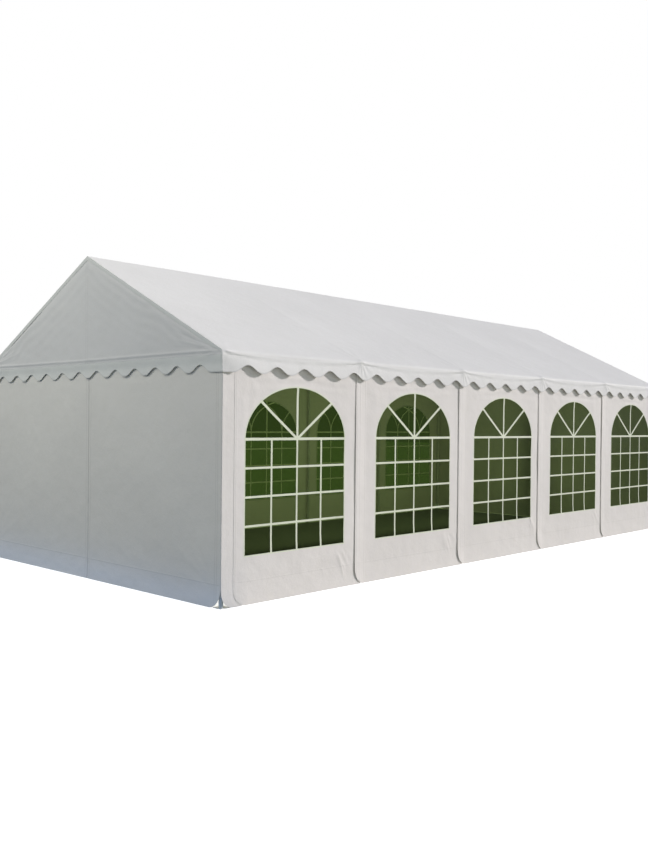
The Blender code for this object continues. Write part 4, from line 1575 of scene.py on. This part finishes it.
def dress_stage(context):
    """The floor and the lights. The floor that shows is lit by a light of its own."""
    scene = context.scene
    settings = scene.marquee_stage
    scene.view_settings.view_transform = "Standard"
    add_surround(scene, settings.sky)
    floor = add_floor("floor", 0.0, FLOOR_WHITE, FLOOR_WHITE, FLOOR_INSIDE, FLOOR_GLOW)
    floor.visible_diffuse = False
    floor.visible_glossy = False
    floor.visible_shadow = False
    bounce = add_floor("bounce_floor", -0.01, BOUNCE_OUTSIDE, BOUNCE_SHADED, BOUNCE_INSIDE)
    bounce.visible_camera = False
    direct = (1 - SHEET_SHARE) * settings.key
    spread_light = SHEET_SHARE * settings.key
    key = add_sun(scene, "key", TOWARDS_KEY, direct, KEY_WIDTH, (1.0, 0.940, 0.925))
    through = add_sun(
        scene, "through_sheets", TOWARDS_KEY, spread_light, KEY_WIDTH, (0.97, 1.0, 0.50),
    )
    through.data.use_shadow = False
    back = add_sun(scene, "back", TOWARDS_BACK, settings.back, BACK_WIDTH, (0.97, 1.0, 0.99))
    wash = add_sun(
        scene, "floor_light", (0.0, 0.0, 1.0), settings.ground, WASH_WIDTH, (1.0, 1.0, 1.0),
    )
    gable_wash = add_panel_light(
        scene, "gable_wash", WASH_PLACE, WASH_WAY, (4.0, 4.0), settings.gable, (1.0, 0.985, 0.83),
    )
    add_panel_light(
        scene, "ground_blue", (-5.22, 0.0, 0.02), (1.0, 0.0, 0.35), (5.6, 0.16),
        FOOT_SHARE * settings.gable, (0.0, 0.30, 1.0),
    )
    for facing in (-1, 1):
        add_panel_light(
            scene, "inside_glow", (0.0, 0.2 * facing, 1.25), (0.0, facing, 0.0), (9.2, 1.9),
            settings.glow, (1.0, 0.98, 0.93),
        )
    add_panel_light(
        scene, "inside_top", (0.0, 0.0, 1.9), (0.0, 0.0, 1.0), (9.2, 3.0),
        TOP_SHARE * settings.glow, (1.0, 0.98, 0.95),
    )
    only_floor = bpy.data.collections.new("lit_by_wash")
    only_floor.objects.link(floor)
    wash.light_linking.receiver_collection = only_floor
    all_but_floor = bpy.data.collections.new("lit_by_suns")
    all_but_floor.objects.link(floor)
    for light in (key, through, back, gable_wash):
        light.light_linking.receiver_collection = all_but_floor
    all_but_floor.collection_objects[0].light_linking.link_state = "EXCLUDE"


# Operators


class MARQUEE_OT_stage(bpy.types.Operator):
    """Set up the camera, the lights and the floor"""

    bl_idname = "marquee.stage"
    bl_label = "Stage"

    def execute(self, context):
        add_camera(context.scene)
        dress_stage(context)
        return {"FINISHED"}


class MARQUEE_OT_cover(bpy.types.Operator):
    """Make the roof sheet, the gable tops and the scalloped valance"""

    bl_idname = "marquee.cover"
    bl_label = "Roof cover and valance"

    def execute(self, context):
        roof_cover(context)
        for side in ("left", "right"):
            gable_top(context, side)
        for side in ("front", "rear", "left", "right"):
            valance(context, side)
        return {"FINISHED"}


class MARQUEE_OT_walls(bpy.types.Operator):
    """Make the side panels and the gable walls"""

    bl_idname = "marquee.walls"
    bl_label = "Walls"

    def execute(self, context):
        for side in ("front", "rear"):
            for bay in range(BAYS):
                side_panel(context, side, bay)
        for side in ("left", "right"):
            for half in ("front", "rear"):
                gable_wall(context, side, half)
        return {"FINISHED"}


class MARQUEE_OT_windows(bpy.types.Operator):
    """Make the window films with their bars and rims"""

    bl_idname = "marquee.windows"
    bl_label = "Windows"

    def execute(self, context):
        tree = strip_tree(bar_finish(context.scene))
        for side in ("front", "rear"):
            for bay in range(BAYS):
                film(context, side, bay)
                window_bars(context, side, bay, tree)
        return {"FINISHED"}


class MARQUEE_OT_steel(bpy.types.Operator):
    """Finish the tubes and add the joint bolts"""

    bl_idname = "marquee.steel"
    bl_label = "Frame and bolts"

    def execute(self, context):
        dress_steel(context)
        joint_bolts(context)
        return {"FINISHED"}


class MARQUEE_PT_panel(bpy.types.Panel):
    """The tent's pieces, in the order in which they are made"""

    bl_label = "Marquee tent"
    bl_space_type = "VIEW_3D"
    bl_region_type = "UI"
    bl_category = "Marquee"

    def draw(self, context):
        for operator, settings in (
            ("marquee.stage", "marquee_stage"),
            ("marquee.cover", "marquee_cover"),
            ("marquee.walls", "marquee_walls"),
            ("marquee.windows", "marquee_windows"),
            ("marquee.steel", "marquee_fittings"),
        ):
            self.layout.operator(operator)
            group = getattr(context.scene, settings)
            for name in group.bl_rna.properties.keys():
                if name not in ("rna_type", "name"):
                    self.layout.prop(group, name)


GROUPS = (
    ("marquee_cover", CoverSettings),
    ("marquee_walls", WallSettings),
    ("marquee_windows", WindowSettings),
    ("marquee_fittings", FittingSettings),
    ("marquee_stage", StageSettings),
)
CLASSES = (
    MARQUEE_OT_stage, MARQUEE_OT_cover, MARQUEE_OT_walls, MARQUEE_OT_windows, MARQUEE_OT_steel,
    MARQUEE_PT_panel,
)


def register():
    for name, group in GROUPS:
        bpy.utils.register_class(group)
        setattr(bpy.types.Scene, name, PointerProperty(type=group))
    for cls in CLASSES:
        bpy.utils.register_class(cls)


def unregister():
    for cls in reversed(CLASSES):
        bpy.utils.unregister_class(cls)
    for name, group in reversed(GROUPS):
        delattr(bpy.types.Scene, name)
        bpy.utils.unregister_class(group)


def main():
    register()
    bpy.ops.marquee.stage()
    bpy.ops.marquee.cover()
    bpy.ops.marquee.walls()
    bpy.ops.marquee.windows()
    bpy.ops.marquee.steel()
    bpy.context.view_layer.update()


if __name__ == "__main__":
    main()
